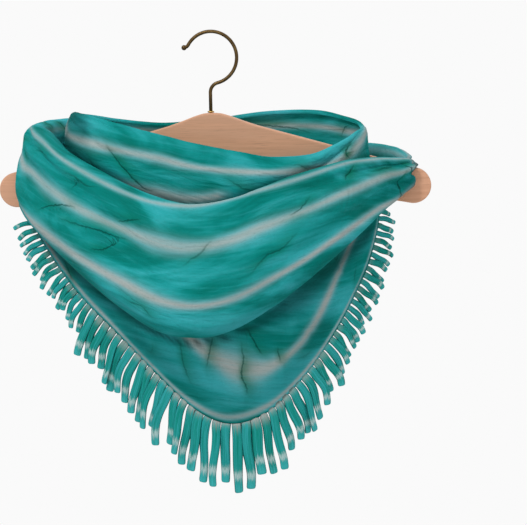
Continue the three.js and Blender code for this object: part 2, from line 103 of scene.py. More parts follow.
class Finish:
    def __init__(self, name):
        self.material = bpy.data.materials.new(name)
        self.material.use_nodes = True
        self.nodes = self.material.node_tree.nodes
        self.links = self.material.node_tree.links
        self.nodes.clear()

    def node(self, kind, settings=None, inputs=None, output=0):
        made = self.nodes.new("ShaderNode" + kind)
        for name, value in (settings or {}).items():
            setattr(made, name, value)
        for name, value in (inputs or {}).items():
            if isinstance(value, Varying):
                self.links.new(value.socket, made.inputs[name])
            else:
                made.inputs[name].default_value = value
        return Varying(self, made.outputs[output]) if made.outputs else made

    def attribute(self, name):
        return self.node("Attribute", {"attribute_name": name}, output="Fac")

    def place(self, kind, scale, shift=(0, 0, 0)):
        """Where a point lies: 'Object' in metres, or the name of a UV map, stretched by scale."""
        if kind == "Object":
            found = self.node("TexCoord", output="Object")
        else:
            found = self.node("UVMap", {"uv_map": kind})
        return self.node("Mapping", {}, {"Vector": found, "Scale": scale, "Location": shift})

    def cloudy(self, place, scale=1.0, detail=3.0, rough=0.5, warp=0.0):
        """Soft noise from 0 to 1."""
        inputs = {"Vector": place, "Scale": scale, "Detail": detail, "Roughness": rough, "Distortion": warp}
        return self.node("TexNoise", {}, inputs)

    def mix(self, first, second, share, blend="MIX"):
        settings = {"data_type": "RGBA", "blend_type": blend}
        return self.node("Mix", settings, {0: share, 6: first, 7: second}, output=2)

    def surface(self, height, bump_depth, bump_strength, **shader_values):
        """Ends the finish: a height in millimetres lifts the surface, and the rest sets the shader."""
        inputs = {"Height": height, "Distance": bump_depth * MM, "Strength": bump_strength}
        shader_values["Normal"] = self.node("Bump", {}, inputs)
        shader = self.node("BsdfPrincipled", {}, {n.replace("_", " "): v for n, v in shader_values.items()})
        self.node("OutputMaterial", {}, {"Surface": shader})
        return self.material


print("a teal, linear:", [round(v, 3) for v in colour(20, 150, 142)])

# %% [markdown]
# ## How the cloth runs
# The scarf goes round twice, as two rings. Each row of a table is one station of a ring: the points of
# its top and bottom edges, the way that its outer side faces, and how far it stands out at a few
# heights. These are the stations of the solids, in millimetres, so the dressed cloth lies on them. A
# smooth curve through the stations gives a cross line of the cloth anywhere along the ring.

# %% The stations of the outer loop: from the left arm round the front to the right arm, and back behind
OUTER_NAMES = "crestX crestY crestZ lowX lowY lowZ face roll tuck upper valley lower turn".split()
OUTER_LOOP = [
    [-180, 0, -91, -199, 0, -134.4, 180, 6, 16, 9, 7, 3, 1],
    [-176, -9, -92, -200, -10, -138, 188, 7, 18, 11, 8, 4, 3],
    [-170, -17, -94, -197, -22, -166, 198, 8, 22, 13, 6, 7, 7],
    [-156, -38, -102, -185, -50, -180, 214, 8, 26, 12, 5, 9, 9],
    [-136, -62, -116, -157, -82, -201, 228, 8, 30, 11, 6, 12, 12],
    [-100, -95, -132, -116, -114, -231, 240, 8, 36, 12, 9, 16, 14],
    [-64, -122, -146, -76, -137, -258, 252, 8, 38, 14, 13, 21, 15],
    [-31, -140, -156, -39, -149, -279, 262, 7, 38, 15, 18, 24, 16],
    [-1, -148, -160, -5, -152, -284, 270, 7, 38, 16, 20, 25, 16],
    [32, -146, -155, 29, -148, -278, 279, 7, 36, 15, 20, 24, 16],
    [59, -134, -146, 63, -136, -260, 288, 7, 34, 13, 18, 22, 15],
    [94, -114, -135, 92, -118, -238, 300, 7, 30, 11, 15, 19, 13],
    [135, -80, -126, 131, -90, -206, 312, 6, 24, 9, 12, 14, 10],
    [165, -50, -125, 166, -56, -178, 322, 5, 16, 7, 9, 8, 7],
    [184, -28, -127, 187, -30, -167, 330, 4, 10, 5, 6, 4, 5],
    [196, -14, -129, 205, -15.5, -155.5, 340, 3, 6, 3, 3, 1, 3],
    [199, -9, -130.6, 200, -11.5, -148, 348, 2, 3, 2, 1, 0, 1],
    [199, -4, -131, 206, -9, -138.2, 354, 2, 2, 2, 2, 1, 1],
    [198, 3, -131, 209, 2, -136.4, 360, 2, 2, 2, 2, 1, 1],
    [198, 11, -131.2, 207, 10, -138.4, 366, 2, 2, 2, 2, 1, 1],
    [197, 26, -127.6, 204, 22, -150, 376, 4, 8, 4, 3, 4, 3],
    [185, 52, -121, 196, 46, -162, 394, 6, 16, 6, 4, 7, 6],
    [160, 84, -118.5, 172, 82, -188, 412, 7, 24, 9, 5, 11, 9],
    [110, 112, -117, 120, 116, -216, 430, 7, 28, 11, 7, 14, 12],
    [50, 127, -117, 54, 134, -232, 442, 7, 30, 12, 9, 16, 12],
    [-10, 130, -118, -8, 139, -238, 450, 7, 30, 13, 9, 17, 12],
    [-70, 126, -113, -72, 134, -233, 458, 7, 30, 12, 8, 16, 12],
    [-125, 107, -98, -134, 114, -220, 474, 8, 28, 11, 5, 14, 12],
    [-155, 82, -88, -172, 85, -202, 492, 8, 26, 10, 3, 12, 10],
    [-172, 45, -87.5, -191, 45, -184, 512, 8, 24, 10, 4, 10, 8],
    [-178, 22, -89.5, -199, 22, -164, 526, 7, 20, 9, 5, 7, 6],
    [-180, 9, -90.5, -200, 10, -138, 534, 6, 17, 8, 6, 5, 3],
]
print("outer loop:", len(OUTER_LOOP), "stations")

# %% The stations of the inner ring: the fringed point in front, and the plain band behind
INNER_NAMES = "rimX rimY rimZ hemX hemY hemZ face lip collar belly skirt".split()
INNER_RING = [
    [-141.5, 0, -78.5, -149, 0, -121.2, 180, 4, 4, 3, 1],
    [-140, -8, -77.5, -153, -10, -124, 190, 5, 4, 0, -1],
    [-137, -20, -78, -170, -20, -162, 204, 6, 3, -10, -8],
    [-129, -35, -78.5, -181, -30, -189, 216, 6, 3, -14, -13],
    [-110, -53, -82, -161, -48, -221, 228, 6, 5, -8, -9],
    [-88, -67, -87, -130, -70, -256, 238, 6, 6, 0, -2],
    [-62, -79, -93, -94, -88, -288, 248, 6, 7, 4, 3],
    [-36, -88, -99, -55, -104, -324, 256, 6, 7, 7, 6],
    [-12, -93, -105, -16, -116, -358, 264, 6, 7, 9, 8],
    [13, -95, -110, 21, -120, -375, 272, 6, 7, 9, 9],
    [38, -94, -115.5, 58, -116, -366, 280, 6, 7, 9, 8],
    [60, -91, -120, 91, -102, -338, 288, 6, 6, 7, 6],
    [84, -83, -120.5, 120, -84, -301, 298, 6, 5, 3, 2],
    [105, -74, -119, 144, -60, -261, 308, 6, 4, -1, -2],
    [122, -60, -113.5, 160, -40, -226, 318, 6, 3, -3, -4],
    [136, -45, -107, 169, -24, -186, 326, 5, 3, -2, -3],
    [147, -23, -101, 165, -13, -152, 340, 4, 3, 1, 0],
    [152, -9, -98.5, 159.5, -9.5, -125.5, 352, 4, 3, 2, 1],
    [153, 0, -97, 158.5, 0, -123.6, 360, 3, 3, 2, 1],
    [153, 9, -95.5, 158.5, 9.5, -125.5, 368, 3, 3, 2, 1],
    [148, 26, -91.5, 156, 27, -168, 380, 3, 4, 3, 2],
    [134, 48, -88, 143, 50, -182, 396, 3, 5, 5, 3],
    [104, 72, -82.5, 110, 76, -188, 416, 3, 6, 6, 4],
    [54, 90, -83, 56, 96, -190, 436, 3, 7, 7, 5],
    [-6, 95, -90, -6, 102, -192, 450, 3, 7, 7, 5],
    [-60, 88, -93.5, -62, 95, -190, 464, 3, 7, 7, 5],
    [-108, 68, -88, -116, 73, -184, 486, 3, 6, 5, 3],
    [-133, 42, -82.5, -142, 44, -174, 506, 3, 5, 4, 2],
    [-141, 22, -80, -149, 22, -158, 522, 3, 4, 3, 2],
    [-142, 9, -79, -150, 9.5, -125, 532, 3, 4, 2, 1],
]
print("inner ring:", len(INNER_RING), "stations")

# %% The cross lines: how far down, as a share or a measure of the row's own, then which bulge and its share
OUTER_PROFILE = [
    ["tuck", "roll", -1.5],
    ["halfTuck", "roll", -1.25],
    [0.015, "roll", -0.7],
    [0, "roll", 0],
    [0.03, "roll", 0.75],
    [0.12, "roll", 1.3],
    [0.25, "upper", 1],
    [0.45, "valley", 1],
    [0.7, "lower", 1],
    [0.9, "lower", 0.72],
    [0.985, "lower", 0.3],
    [1, "turn", -0.25],
    [0.97, "turn", -0.75],
    [0.9, "turn", -1],
]
INNER_PROFILE = [
    ["lip", "lip", -0.75],
    ["halfLip", "lip", -0.7],
    [0.01, "lip", -0.4],
    [0, "lip", 0],
    [0.03, "lip", 0.35],
    [0.1, "collar", 0.75],
    [0.25, "collar", 1],
    [0.5, "belly", 1],
    [0.78, "skirt", 1],
    [0.93, "skirt", 0.4],
    [1, "skirt", 0],
]
print("cross lines of", len(OUTER_PROFILE), "and", len(INNER_PROFILE), "points")

# %% [markdown]
# ## From stations to a surface
# Two curves do it. One flows from station to station and closes on itself, so the ring has no seam. The
# other runs down the cloth through the points of the cross line, with its knots spaced by the root of
# each chord, so that it never loops at the tight rolled edge. Both are worked out for a whole lattice
# at once.

# %% Flow from station to station
def rows_at(names, table, along):
    rows, face = np.array(table, float), names.index("face")
    base = np.floor(along).astype(int)
    share = (along - base)[:, None]

    def near(step):
        turns = (base + step) // len(rows)
        found = rows[(base + step) % len(rows)]
        found[:, face] += 360 * turns
        return found

    a, b, c, d = (near(step) for step in (-1, 0, 1, 2))
    bend, twist = 2 * a - 5 * b + 4 * c - d, -a + 3 * b - 3 * c + d
    flow = 0.5 * (2 * b + (c - a) * share + bend * share**2 + twist * share**3)
    return {name: flow[:, k] for k, name in enumerate(names)}


# %% The points that the cross lines pass through
def cross_points(row, profile, top, bottom):
    high, low = (np.stack([row[edge + axis] for axis in "XYZ"], -1) for edge in (top, bottom))
    length = np.linalg.norm(low - high, axis=-1, keepdims=True)
    down = (low - high) / length
    turn = np.radians(row["face"])
    out = np.stack([np.cos(turn), np.sin(turn), 0 * turn], -1)
    out -= down * (out * down).sum(-1, keepdims=True)
    out /= np.linalg.norm(out, axis=-1, keepdims=True)
    halves = {"halfTuck": "tuck", "halfLip": "lip"}
    points = []
    for along, measure, share in profile:
        if along in halves:
            depth = row[halves[along]][:, None] / 2
        else:
            depth = row[along][:, None] if isinstance(along, str) else along * length
        points.append(high + down * depth + out * share * row[measure][:, None])
    return np.stack(points, 1)


# %% A smooth line through them
def smooth_down(points, shares):
    first, last = 2 * points[:, :1] - points[:, 1:2], 2 * points[:, -1:] - points[:, -2:-1]
    run = np.concatenate([first, points, last], 1)
    lines = []
    for place in np.minimum(shares, 0.99999) * (points.shape[1] - 1):
        four = [run[:, int(place) + k] for k in range(4)]
        knots = [np.zeros(len(run))]
        for p, q in zip(four, four[1:]):
            knots.append(knots[-1] + np.sqrt(np.linalg.norm(p - q, axis=-1)) + 1e-6)
        at = knots[1] + (knots[2] - knots[1]) * (place % 1)

        def between(p, q, low, high):
            share = (at - knots[low]) / (knots[high] - knots[low])
            return p + (q - p) * share[:, None]

        ab, bc, cd = (between(p, q, k, k + 1) for k, (p, q) in enumerate(zip(four, four[1:])))
        lines.append(between(between(ab, bc, 0, 2), between(bc, cd, 1, 3), 1, 2))
    return np.stack(lines, 1)


def outer_lattice(along, down):
    row = rows_at(OUTER_NAMES, OUTER_LOOP, along)
    return smooth_down(cross_points(row, OUTER_PROFILE, "crest", "low"), down)


def inner_lattice(along, down):
    row = rows_at(INNER_NAMES, INNER_RING, along)
    return smooth_down(cross_points(row, INNER_PROFILE, "rim", "hem"), down)


middle = outer_lattice(np.array([8.0]), np.array([0.25, 0.5, 0.75]))
print("cross line in front, mm:", np.round(middle)[0].tolist())


# %% Which way a lattice faces
def facing(points, closed=True):
    along = np.roll(points, -1, 0) - np.roll(points, 1, 0) if closed else np.gradient(points, axis=0)
    out = np.cross(np.gradient(points, axis=1), along)
    return out / (np.linalg.norm(out, axis=-1, keepdims=True) + 1e-9)


# %% [markdown]
# ## Creases and folds, one by one
# Filled-out cloth is never even. Long soft folds run along each ring from the arms, where the weight
# gathers them. Each row is one fold, from a place to a place, in stations and in shares of the way
# down. It rises by a height or sinks by it, and bow bends it. The first rows are the ones that the
# solids have too. The others are shallower, and no two have the same length, depth or spacing.

# %% The folds of the outer loop: from along, down, to along, down, bow, half width, height in mm
OUTER_FOLDS = [
    [16.5, 0.5, 9, 0.52, 0, 0.05, 5],
    [16.5, 0.55, 7, 0.68, 0, 0.05, -4],
    [16.2, 0.62, 10, 0.8, 0, 0.05, 4],
    [16, 0.42, 10.5, 0.4, 0, 0.04, -4],
    [1, 0.42, 5.5, 0.47, 0, 0.035, -5],
    [0.5, 0.62, 4.5, 0.7, 0, 0.04, 3],
    [20, 0.5, 26, 0.55, 0, 0.05, 4],
    [20, 0.65, 24, 0.75, 0, 0.05, -4],
    [31, 0.5, 27, 0.5, 0, 0.04, -4],
    [31, 0.65, 26.5, 0.72, 0, 0.05, 4],
    [1.4, 0.5, 6.8, 0.44, 0.01, 0.016, 1.3],
    [2.6, 0.585, 7.4, 0.545, -0.02, 0.02, 1.6],
    [3.4, 0.62, 7.9, 0.59, -0.015, 0.014, -1.2],
    [4.2, 0.66, 9.4, 0.7, 0.01, 0.022, 1.4],
    [5.6, 0.39, 10.2, 0.37, 0.02, 0.014, 1.0],
    [7.2, 0.57, 12.8, 0.58, 0.02, 0.018, -1.5],
    [8.4, 0.54, 14.6, 0.56, 0.01, 0.013, 1.2],
    [9.6, 0.44, 15.2, 0.45, 0.015, 0.016, 1.5],
    [10.2, 0.66, 15.6, 0.65, 0.02, 0.016, -1.3],
    [11.8, 0.36, 16.2, 0.4, -0.01, 0.014, -1.2],
    [12.6, 0.52, 16.6, 0.5, 0.0, 0.012, 1.1],
    [13.1, 0.6, 16.8, 0.61, 0.0, 0.011, -1.0],
    [0.2, 0.36, 3.4, 0.4, 0.01, 0.012, -1.3],
    [18.8, 0.42, 23.6, 0.45, 0.01, 0.02, -1.6],
    [19.2, 0.58, 25.2, 0.62, -0.015, 0.018, 1.4],
    [21.5, 0.36, 27.8, 0.4, 0.01, 0.016, 1.2],
    [22.6, 0.7, 28.6, 0.66, 0.02, 0.02, -1.4],
    [25.4, 0.48, 30.8, 0.44, 0.0, 0.015, 1.3],
    [26.8, 0.6, 31.2, 0.56, 0.015, 0.014, -1.2],
    [28.2, 0.37, 31.6, 0.36, 0.0, 0.012, 1.0],
]
print("folds on the outer loop:", len(OUTER_FOLDS))

# %% The folds of the inner ring
INNER_FOLDS = [
    [2.2, 0.35, 6, 0.5, 0, 0.04, 3],
    [14, 0.4, 9, 0.52, 0, 0.045, 3.5],
    [6, 0.62, 7.4, 0.9, 0, 0.05, 2.5],
    [11.5, 0.6, 10.4, 0.88, 0, 0.05, 2.5],
    [21, 0.4, 26, 0.5, 0, 0.06, 3],
    [27, 0.55, 22, 0.7, 0, 0.06, -3],
    [1.6, 0.45, 6.4, 0.58, 0.01, 0.016, -1.4],
    [3.2, 0.4, 8.8, 0.43, 0.02, 0.014, 1.0],
    [15.8, 0.42, 10.6, 0.56, 0.01, 0.016, -1.6],
    [15.2, 0.5, 8.2, 0.62, 0.0, 0.018, 1.4],
    [14.6, 0.58, 11.2, 0.68, 0.0, 0.014, -1.1],
    [4.6, 0.7, 6.2, 0.92, 0.01, 0.02, -1.6],
    [7.6, 0.66, 8.3, 0.93, -0.01, 0.016, 1.5],
    [8.7, 0.7, 9.0, 0.9, 0.01, 0.013, -1.3],
    [9.6, 0.68, 9.7, 0.94, -0.01, 0.014, 1.2],
    [10.8, 0.7, 11.8, 0.92, 0.0, 0.018, -1.8],
    [12.4, 0.68, 13.2, 0.93, 0.0, 0.018, 1.7],
    [18.8, 0.45, 23.4, 0.52, 0.02, 0.03, -1.5],
    [20.2, 0.62, 25.6, 0.66, -0.01, 0.025, 1.4],
    [24.4, 0.36, 29.2, 0.42, 0.01, 0.02, 1.2],
    [26.2, 0.7, 29.6, 0.62, 0.0, 0.02, -1.2],
]
print("folds on the inner ring:", len(INNER_FOLDS))


# %% How far the folds lift the cloth
def fold_height(folds, along, down):
    height = np.zeros((len(along), len(down)))
    u, v = along[:, None], down[None, :]
    for from_along, from_down, to_along, to_down, bow, width, rise in folds:
        share = (u - from_along) / (to_along - from_along)
        inside = (share > 0) & (share < 1)
        share = np.clip(share, 1e-6, 1 - 1e-6)
        middle = from_down + (to_down - from_down) * share + bow * 4 * share * (1 - share)
        hill = np.exp(-(((v - middle) / width) ** 2)) * np.sin(np.pi * share) ** 0.7
        height += np.where(inside, rise * hill, 0)
    return height


along_try, down_try = np.arange(0, 32, 0.5), np.linspace(0, 1, 60)
height = fold_height(OUTER_FOLDS, along_try, down_try)
print("folds of the outer loop, mm:", round(height.min(), 1), "to", round(height.max(), 1))

# %% [markdown]
# ## Where the dye lies, and where shade is painted
# The cloth is tie-dyed: bound with string and dipped, so pale bands stay where it was bound, and the
# dye pools in thin dark lines where it was creased. Shade is painted into the colour as well: it is darker
# where one wrap lies on or over the other, along the hems and in the pockets, standing in for shadow. All
# of it follows the cloth and not space, so it is worked out on the lattice and kept as attributes of
# its points. A band or a place of painted shade is a short table of places along the ring and down it,
# with its half width there. A dark line is kept as the distance to it, with a sign, because a distance
# stays exact between the points of a coarse mesh where a painted line would blur.

# %% The pale bands of the outer loop: strength, then places along and down with the half width in mm
OUTER_BANDS = [
    (0.8, [
        (-1, 0.37, 3), (2, 0.37, 3), (4.2, 0.355, 3), (5.2, 0.345, 3), (6.6, 0.33, 3), (7.8, 0.268, 3.5),
        (8.8, 0.24, 3.5), (10, 0.28, 3), (10.9, 0.32, 3), (11.9, 0.295, 3), (13.6, 0.295, 2.5),
        (16, 0.31, 2.5), (20, 0.33, 4), (24, 0.31, 4), (28, 0.34, 4), (31, 0.37, 3), (33, 0.37, 3),
    ]),
    (0.9, [
        (-1, 0.6, 4), (1.2, 0.6, 5), (2.5, 0.555, 6), (3.6, 0.55, 7), (4.8, 0.53, 6), (5.9, 0.5, 6),
        (6.8, 0.49, 8), (7.9, 0.485, 8), (9.5, 0.475, 7), (10.8, 0.49, 5.5), (12.2, 0.505, 5),
        (14.3, 0.515, 4), (17, 0.52, 3), (20, 0.55, 6), (24, 0.53, 7), (28, 0.56, 7), (31, 0.6, 5),
        (33, 0.6, 4),
    ]),
    (1.0, [
        (-1, 0.7, 3), (3, 0.7, 4), (3.9, 0.695, 6), (4.6, 0.67, 6), (5.9, 0.635, 7), (6.9, 0.625, 6.5),
        (8, 0.63, 5), (9.4, 0.625, 4.5), (10.8, 0.636, 4.5), (12.1, 0.66, 4.5), (13.4, 0.7, 3.5),
        (15, 0.73, 3), (18, 0.72, 3), (21, 0.7, 5), (25, 0.67, 6), (28, 0.7, 6), (31, 0.7, 4),
        (33, 0.7, 3),
    ]),
    (0.6, [(-1, 0.11, 4), (6, 0.1, 5), (12, 0.13, 4), (20, 0.12, 5), (26, 0.1, 5), (33, 0.11, 4)]),
]
print("bands on the outer loop:", len(OUTER_BANDS))

# %% The pale bands of the inner ring
INNER_BANDS = [
    (0.95, [
        (-1, 0.57, 4), (3.2, 0.57, 5.5), (4.7, 0.535, 6), (6.5, 0.505, 5), (8.7, 0.48, 4), (11, 0.46, 4),
        (12.2, 0.48, 5), (13.5, 0.515, 6), (15.4, 0.545, 6), (18, 0.55, 5), (21.2, 0.55, 5),
        (23, 0.54, 5), (25, 0.5, 5), (28, 0.55, 5), (31, 0.57, 4),
    ]),
    (1.0, [
        (4.9, 0.64, 5), (5.5, 0.625, 6), (6.7, 0.605, 7), (7.7, 0.585, 7), (8.8, 0.56, 6), (9.6, 0.54, 4),
    ]),
    (1.0, [
        (7.3, 0.76, 8), (7.9, 0.785, 9), (8.8, 0.79, 12), (9.2, 0.8, 15), (9.6, 0.82, 15),
        (10.1, 0.832, 11), (10.8, 0.838, 6), (11.6, 0.84, 6), (12.1, 0.81, 6), (12.6, 0.79, 5.5),
        (13.8, 0.78, 4.5), (15.5, 0.77, 4),
    ]),
    (0.9, [
        (2.4, 0.96, 2), (3.6, 0.968, 2.2), (4.4, 0.96, 2.5), (5, 0.95, 2.5), (5.6, 0.96, 2.5),
        (6.5, 0.972, 2.5), (7.8, 0.972, 3), (9, 0.965, 3.5), (9.9, 0.957, 4.5), (10.7, 0.966, 3),
        (12, 0.975, 2.5), (13.5, 0.978, 2), (15.2, 0.96, 2),
    ]),
    (0.6, [(17.5, 0.83, 5), (20, 0.8, 6), (24, 0.84, 6), (28, 0.8, 6), (29.8, 0.82, 4)]),
]
print("bands on the inner ring:", len(INNER_BANDS))

# %% Painted shade where the wraps lie on or over each other: strength, then places along and down with the half width in mm
# Painted shadow: the cowl's crest and lower edge, the drape under the cowl, the neck band's foot, the left
# pocket.
OUTER_PAINTED_SHADE = [
    (0.5, [(-1, 0.03, 5), (8, 0.03, 5), (16, 0.03, 5), (24, 0.03, 5), (33, 0.03, 5)]),
    (0.6, [
        (3, 0.79, 3), (5, 0.797, 3.5), (7, 0.812, 4), (8, 0.818, 4), (9, 0.814, 4), (10, 0.802, 4),
        (11, 0.785, 3.5), (13, 0.787, 3),
    ]),
    (0.35, [(5.1, 0.575, 3), (5.5, 0.563, 6), (5.95, 0.548, 3)]),
    (0.24, [(3.5, 0.72, 8), (6, 0.74, 14), (8, 0.75, 16), (10, 0.74, 14), (12.5, 0.72, 8)]),
]
INNER_PAINTED_SHADE = [
    (0.75, [
        (3.2, 0.97, 4), (3.7, 0.945, 6), (5, 0.875, 8), (5.55, 0.86, 9), (6.2, 0.85, 8), (6.7, 0.84, 6),
        (7.25, 0.82, 4), (8.2, 0.78, 3), (9.25, 0.758, 3), (9.75, 0.752, 5), (10.3, 0.748, 9),
        (10.85, 0.748, 13), (11.4, 0.748, 16), (12.15, 0.758, 15), (13, 0.775, 11), (13.95, 0.81, 8),
        (14.95, 0.95, 4),
    ]),
    (0.8, [
        (2.2, 0.58, 16), (3.3, 0.61, 13), (4.25, 0.615, 9), (4.95, 0.614, 7), (6.15, 0.612, 5),
        (7.25, 0.602, 4.5), (8.3, 0.583, 4.5), (9.5, 0.555, 4.5), (10.6, 0.527, 5), (12.15, 0.503, 4.5),
        (13.55, 0.507, 4),
    ]),
    (0.6, [(1, 0.42, 22), (2, 0.42, 26), (2.8, 0.44, 26), (3.6, 0.5, 18), (4.4, 0.56, 8)]),
    (0.38, [(6, 0.91, 8), (7.5, 0.9, 18), (9.5, 0.9, 24), (11, 0.89, 20), (12.5, 0.88, 10)]),
    (0.28, [(10, 0.66, 14), (11.5, 0.65, 24), (13, 0.66, 24), (14.2, 0.68, 14)]),
]
print("deep places:", len(OUTER_PAINTED_SHADE), len(INNER_PAINTED_SHADE))

# %% The dark lines of the outer loop: strength, then places along and down
OUTER_VEINS = [
    (1.0, [(3.75, 0.635), (4.05, 0.588), (4.3, 0.564), (4.75, 0.528)]),
    (0.9, [(4.3, 0.6), (4.9, 0.572), (5.4, 0.548), (5.9, 0.534), (6.2, 0.522)]),
    (1.0, [(5.25, 0.612), (5.6, 0.585), (5.85, 0.556), (6.0, 0.53)]),
    (0.9, [(5.8, 0.49), (6.15, 0.462), (6.5, 0.43)]),
    (0.7, [(4.15, 0.435), (4.5, 0.408), (4.9, 0.42), (5.3, 0.38)]),
    (0.8, [(4.5, 0.49), (4.62, 0.43), (4.85, 0.408)]),
    (0.9, [(12.2, 0.325), (12.05, 0.395), (11.9, 0.445)]),
    (0.7, [(11.15, 0.44), (10.85, 0.48), (10.5, 0.485)]),
    (1.0, [(14.25, 0.43), (14.6, 0.5), (14.95, 0.57)]),
    (1.0, [(14.2, 0.5), (14.05, 0.6), (13.95, 0.7), (13.8, 0.76)]),
    (0.7, [(13.9, 0.44), (13.2, 0.45), (12.6, 0.445)]),
    (0.6, [(7.6, 0.545), (8.2, 0.5), (8.5, 0.46)]),
    (0.7, [(9.3, 0.59), (9.9, 0.56), (10.3, 0.565), (10.8, 0.54)]),
    (0.6, [(2.6, 0.47), (3.0, 0.43), (3.5, 0.42)]),
    (0.8, [(1.2, 0.44), (1.5, 0.52), (1.9, 0.55)]),
    (0.6, [(6.2, 0.68), (6.7, 0.665), (7.0, 0.69)]),
    (0.9, [(28.6, 0.06), (28.9, 0.14), (29.2, 0.2)]),
    (0.8, [(29.6, 0.1), (30.0, 0.2), (29.9, 0.3)]),
    (0.9, [(20.5, 0.46), (21.2, 0.52), (21.8, 0.5), (22.4, 0.56)]),
    (0.8, [(23.2, 0.64), (23.9, 0.6), (24.3, 0.52)]),
    (0.9, [(25.6, 0.45), (26.1, 0.52), (26.9, 0.54), (27.3, 0.6)]),
    (0.7, [(22.1, 0.38), (22.9, 0.42), (23.6, 0.41)]),
    (0.7, [(28.4, 0.5), (29.1, 0.55), (29.8, 0.54)]),
    (0.6, [(30.4, 0.42), (30.9, 0.5), (31.2, 0.56)]),
]
print("dark lines on the outer loop:", len(OUTER_VEINS))

# %% The dark lines of the inner ring
INNER_VEINS = [
    (1.0, [(4.9, 0.52), (5.3, 0.55), (5.65, 0.572), (6.05, 0.59), (6.45, 0.603), (6.85, 0.6)]),
    (0.7, [(4.4, 0.6), (4.75, 0.617)]),
    (1.0, [(15.3, 0.455), (14.75, 0.49), (14.55, 0.52), (14.75, 0.575)]),
    (0.6, [(7.75, 0.77), (7.85, 0.835), (8.1, 0.89)]),
    (0.7, [(8.8, 0.75), (8.6, 0.785), (8.48, 0.825)]),
    (0.8, [(9.45, 0.762), (9.52, 0.79), (9.42, 0.825), (9.56, 0.862), (9.52, 0.88)]),
    (0.9, [(9.6, 0.75), (9.85, 0.775), (10.05, 0.8)]),
    (0.7, [(10.45, 0.795), (10.5, 0.84)]),
    (0.4, [(7.1, 0.85), (7.05, 0.89), (6.85, 0.92)]),
    (0.8, [(4.3, 0.9), (4.6, 0.93), (4.75, 0.965)]),
    (0.6, [(12.5, 0.73), (12.75, 0.765), (13.0, 0.76)]),
    (0.5, [(13.5, 0.86), (13.25, 0.88), (13.1, 0.915)]),
    (0.4, [(10.9, 0.86), (11.2, 0.89), (11.5, 0.9)]),
    (0.8, [(22.1, 0.6), (22.6, 0.56), (23.3, 0.52), (23.8, 0.44)]),
    (0.7, [(20.6, 0.45), (21.1, 0.52), (21.4, 0.6)]),
    (0.9, [(24.8, 0.5), (25.4, 0.58), (25.8, 0.66)]),
    (0.7, [(26.6, 0.42), (27.2, 0.5), (27.9, 0.52)]),
    (0.6, [(9.2, 0.5), (9.9, 0.53), (10.6, 0.54)]),
    (0.6, [(11.6, 0.42), (12.2, 0.44), (12.6, 0.5)]),
]
print("dark lines on the inner ring:", len(INNER_VEINS))


# %% How strong a set of bands is at each point
BAND_SMOOTHING = 0.6


def band_strength(bands, points, along, down):
    depth = np.zeros(points.shape[:2])
    depth[:, 1:] = np.cumsum(np.linalg.norm(np.diff(points, axis=1), axis=-1), axis=1)
    total = np.zeros_like(depth)
    edge = np.clip((depth[:, -1:] - depth - 1) / 2, 0, 1)
    for strength, places in bands:
        at, middle, half = np.array(places).T
        shifts = np.linspace(-BAND_SMOOTHING, BAND_SMOOTHING, 9)
        shares = np.mean([np.interp(along + shift, at, middle) for shift in shifts], axis=0)
        centre = np.array([np.interp(share, down, line) for share, line in zip(shares, depth)])
        width = np.interp(along, at, half) * (1 + 0.12 * np.sin(along * 2.3 + 7 * middle[0]))
        band = strength * np.exp(-(((depth - centre[:, None]) / width[:, None]) ** 2))
        ends = np.clip(np.minimum(along - at[0], at[-1] - along) / BAND_SMOOTHING, 0, 1)
        total = np.maximum(total, band * ends[:, None])
    return total * edge


# %% How far each point is from the nearest dark line, and how strong that line and its stain are
VEIN_REACH, STAIN_REACH = 6.0, 9.0


def vein_fields(veins, surface, points, out, along, down):
    """The sign of a distance tells the line's sides apart. The power is 0 where that sign may jump."""
    distance = np.full(points.shape[:2], 4 * STAIN_REACH)
    power = np.zeros(points.shape[:2])
    stain = np.zeros(points.shape[:2])
    for strength, places in veins:
        at, depth = np.array(places, float).T
        fine = np.linspace(0, len(at) - 1, 5 * len(at))
        knots = np.arange(len(at))
        at, depth = np.interp(fine, knots, at), np.interp(fine, knots, depth)
        line = np.stack([surface(np.array([a]), np.array([d]))[0, 0] for a, d in zip(at, depth)])
        rows = np.where((along > at.min() - 1) & (along < at.max() + 1))[0]
        columns = np.where((down > depth.min() - 0.12) & (down < depth.max() + 0.12))[0]
        window = np.ix_(rows, columns)
        for k, (start, end) in enumerate(zip(line, line[1:])):
            way = end - start
            share = ((points[window] - start) @ way / (way @ way)).clip(0, 1)
            off = points[window] - (start + share[..., None] * way)
            gap = np.linalg.norm(off, axis=-1)
            side = np.sign((np.cross(way, off) * out[window]).sum(-1))
            place = (k + share) / (len(line) - 1)
            strong = strength * np.sin(np.pi * place.clip(0, 1)).clip(0) ** 0.6
            nearer = gap < np.abs(distance[window])
            fade = np.clip((VEIN_REACH - gap) / 2, 0, 1)
            distance[window] = np.where(nearer, np.where(side < 0, -gap, gap), distance[window])
            power[window] = np.where(nearer, strong * fade, power[window])
            spread = np.where(side > 0, STAIN_REACH, 0.4 * STAIN_REACH)
            stain[window] = np.maximum(stain[window], strong * np.exp(-((gap / spread) ** 2)))
    return distance, power, stain


# %% [markdown]
# ## The two sheets of cloth
# A sheet starts as a flat grid, one operator call, with a UV map that will stay with the cloth. Each of
# its points is then moved to its place on the surface: the smooth ring, the folds, the pinch along each
# dark line, and a little unevenness. The first and last lines of the grid meet, so their doubles are
# merged, and a Solidify modifier gives the cloth its thickness. The wood is close where the cloth lies
# on the hanger, so there the unevenness fades out.

# %% A piece of the scene, from its finished mesh data
def piece_from(bm, name, smooth=True):
    mesh = bpy.data.meshes.new(name)
    bm.to_mesh(mesh)
    bm.free()
    if smooth:
        mesh.shade_smooth()
    piece = bpy.data.objects.new(name, mesh)
    bpy.context.scene.collection.objects.link(piece)
    return piece


# %% A grid laid on a lattice
def cell(co, lines, count):
    return round((co.x + 0.5) * (lines - 1)), round((co.y + 0.5) * (count - 1))


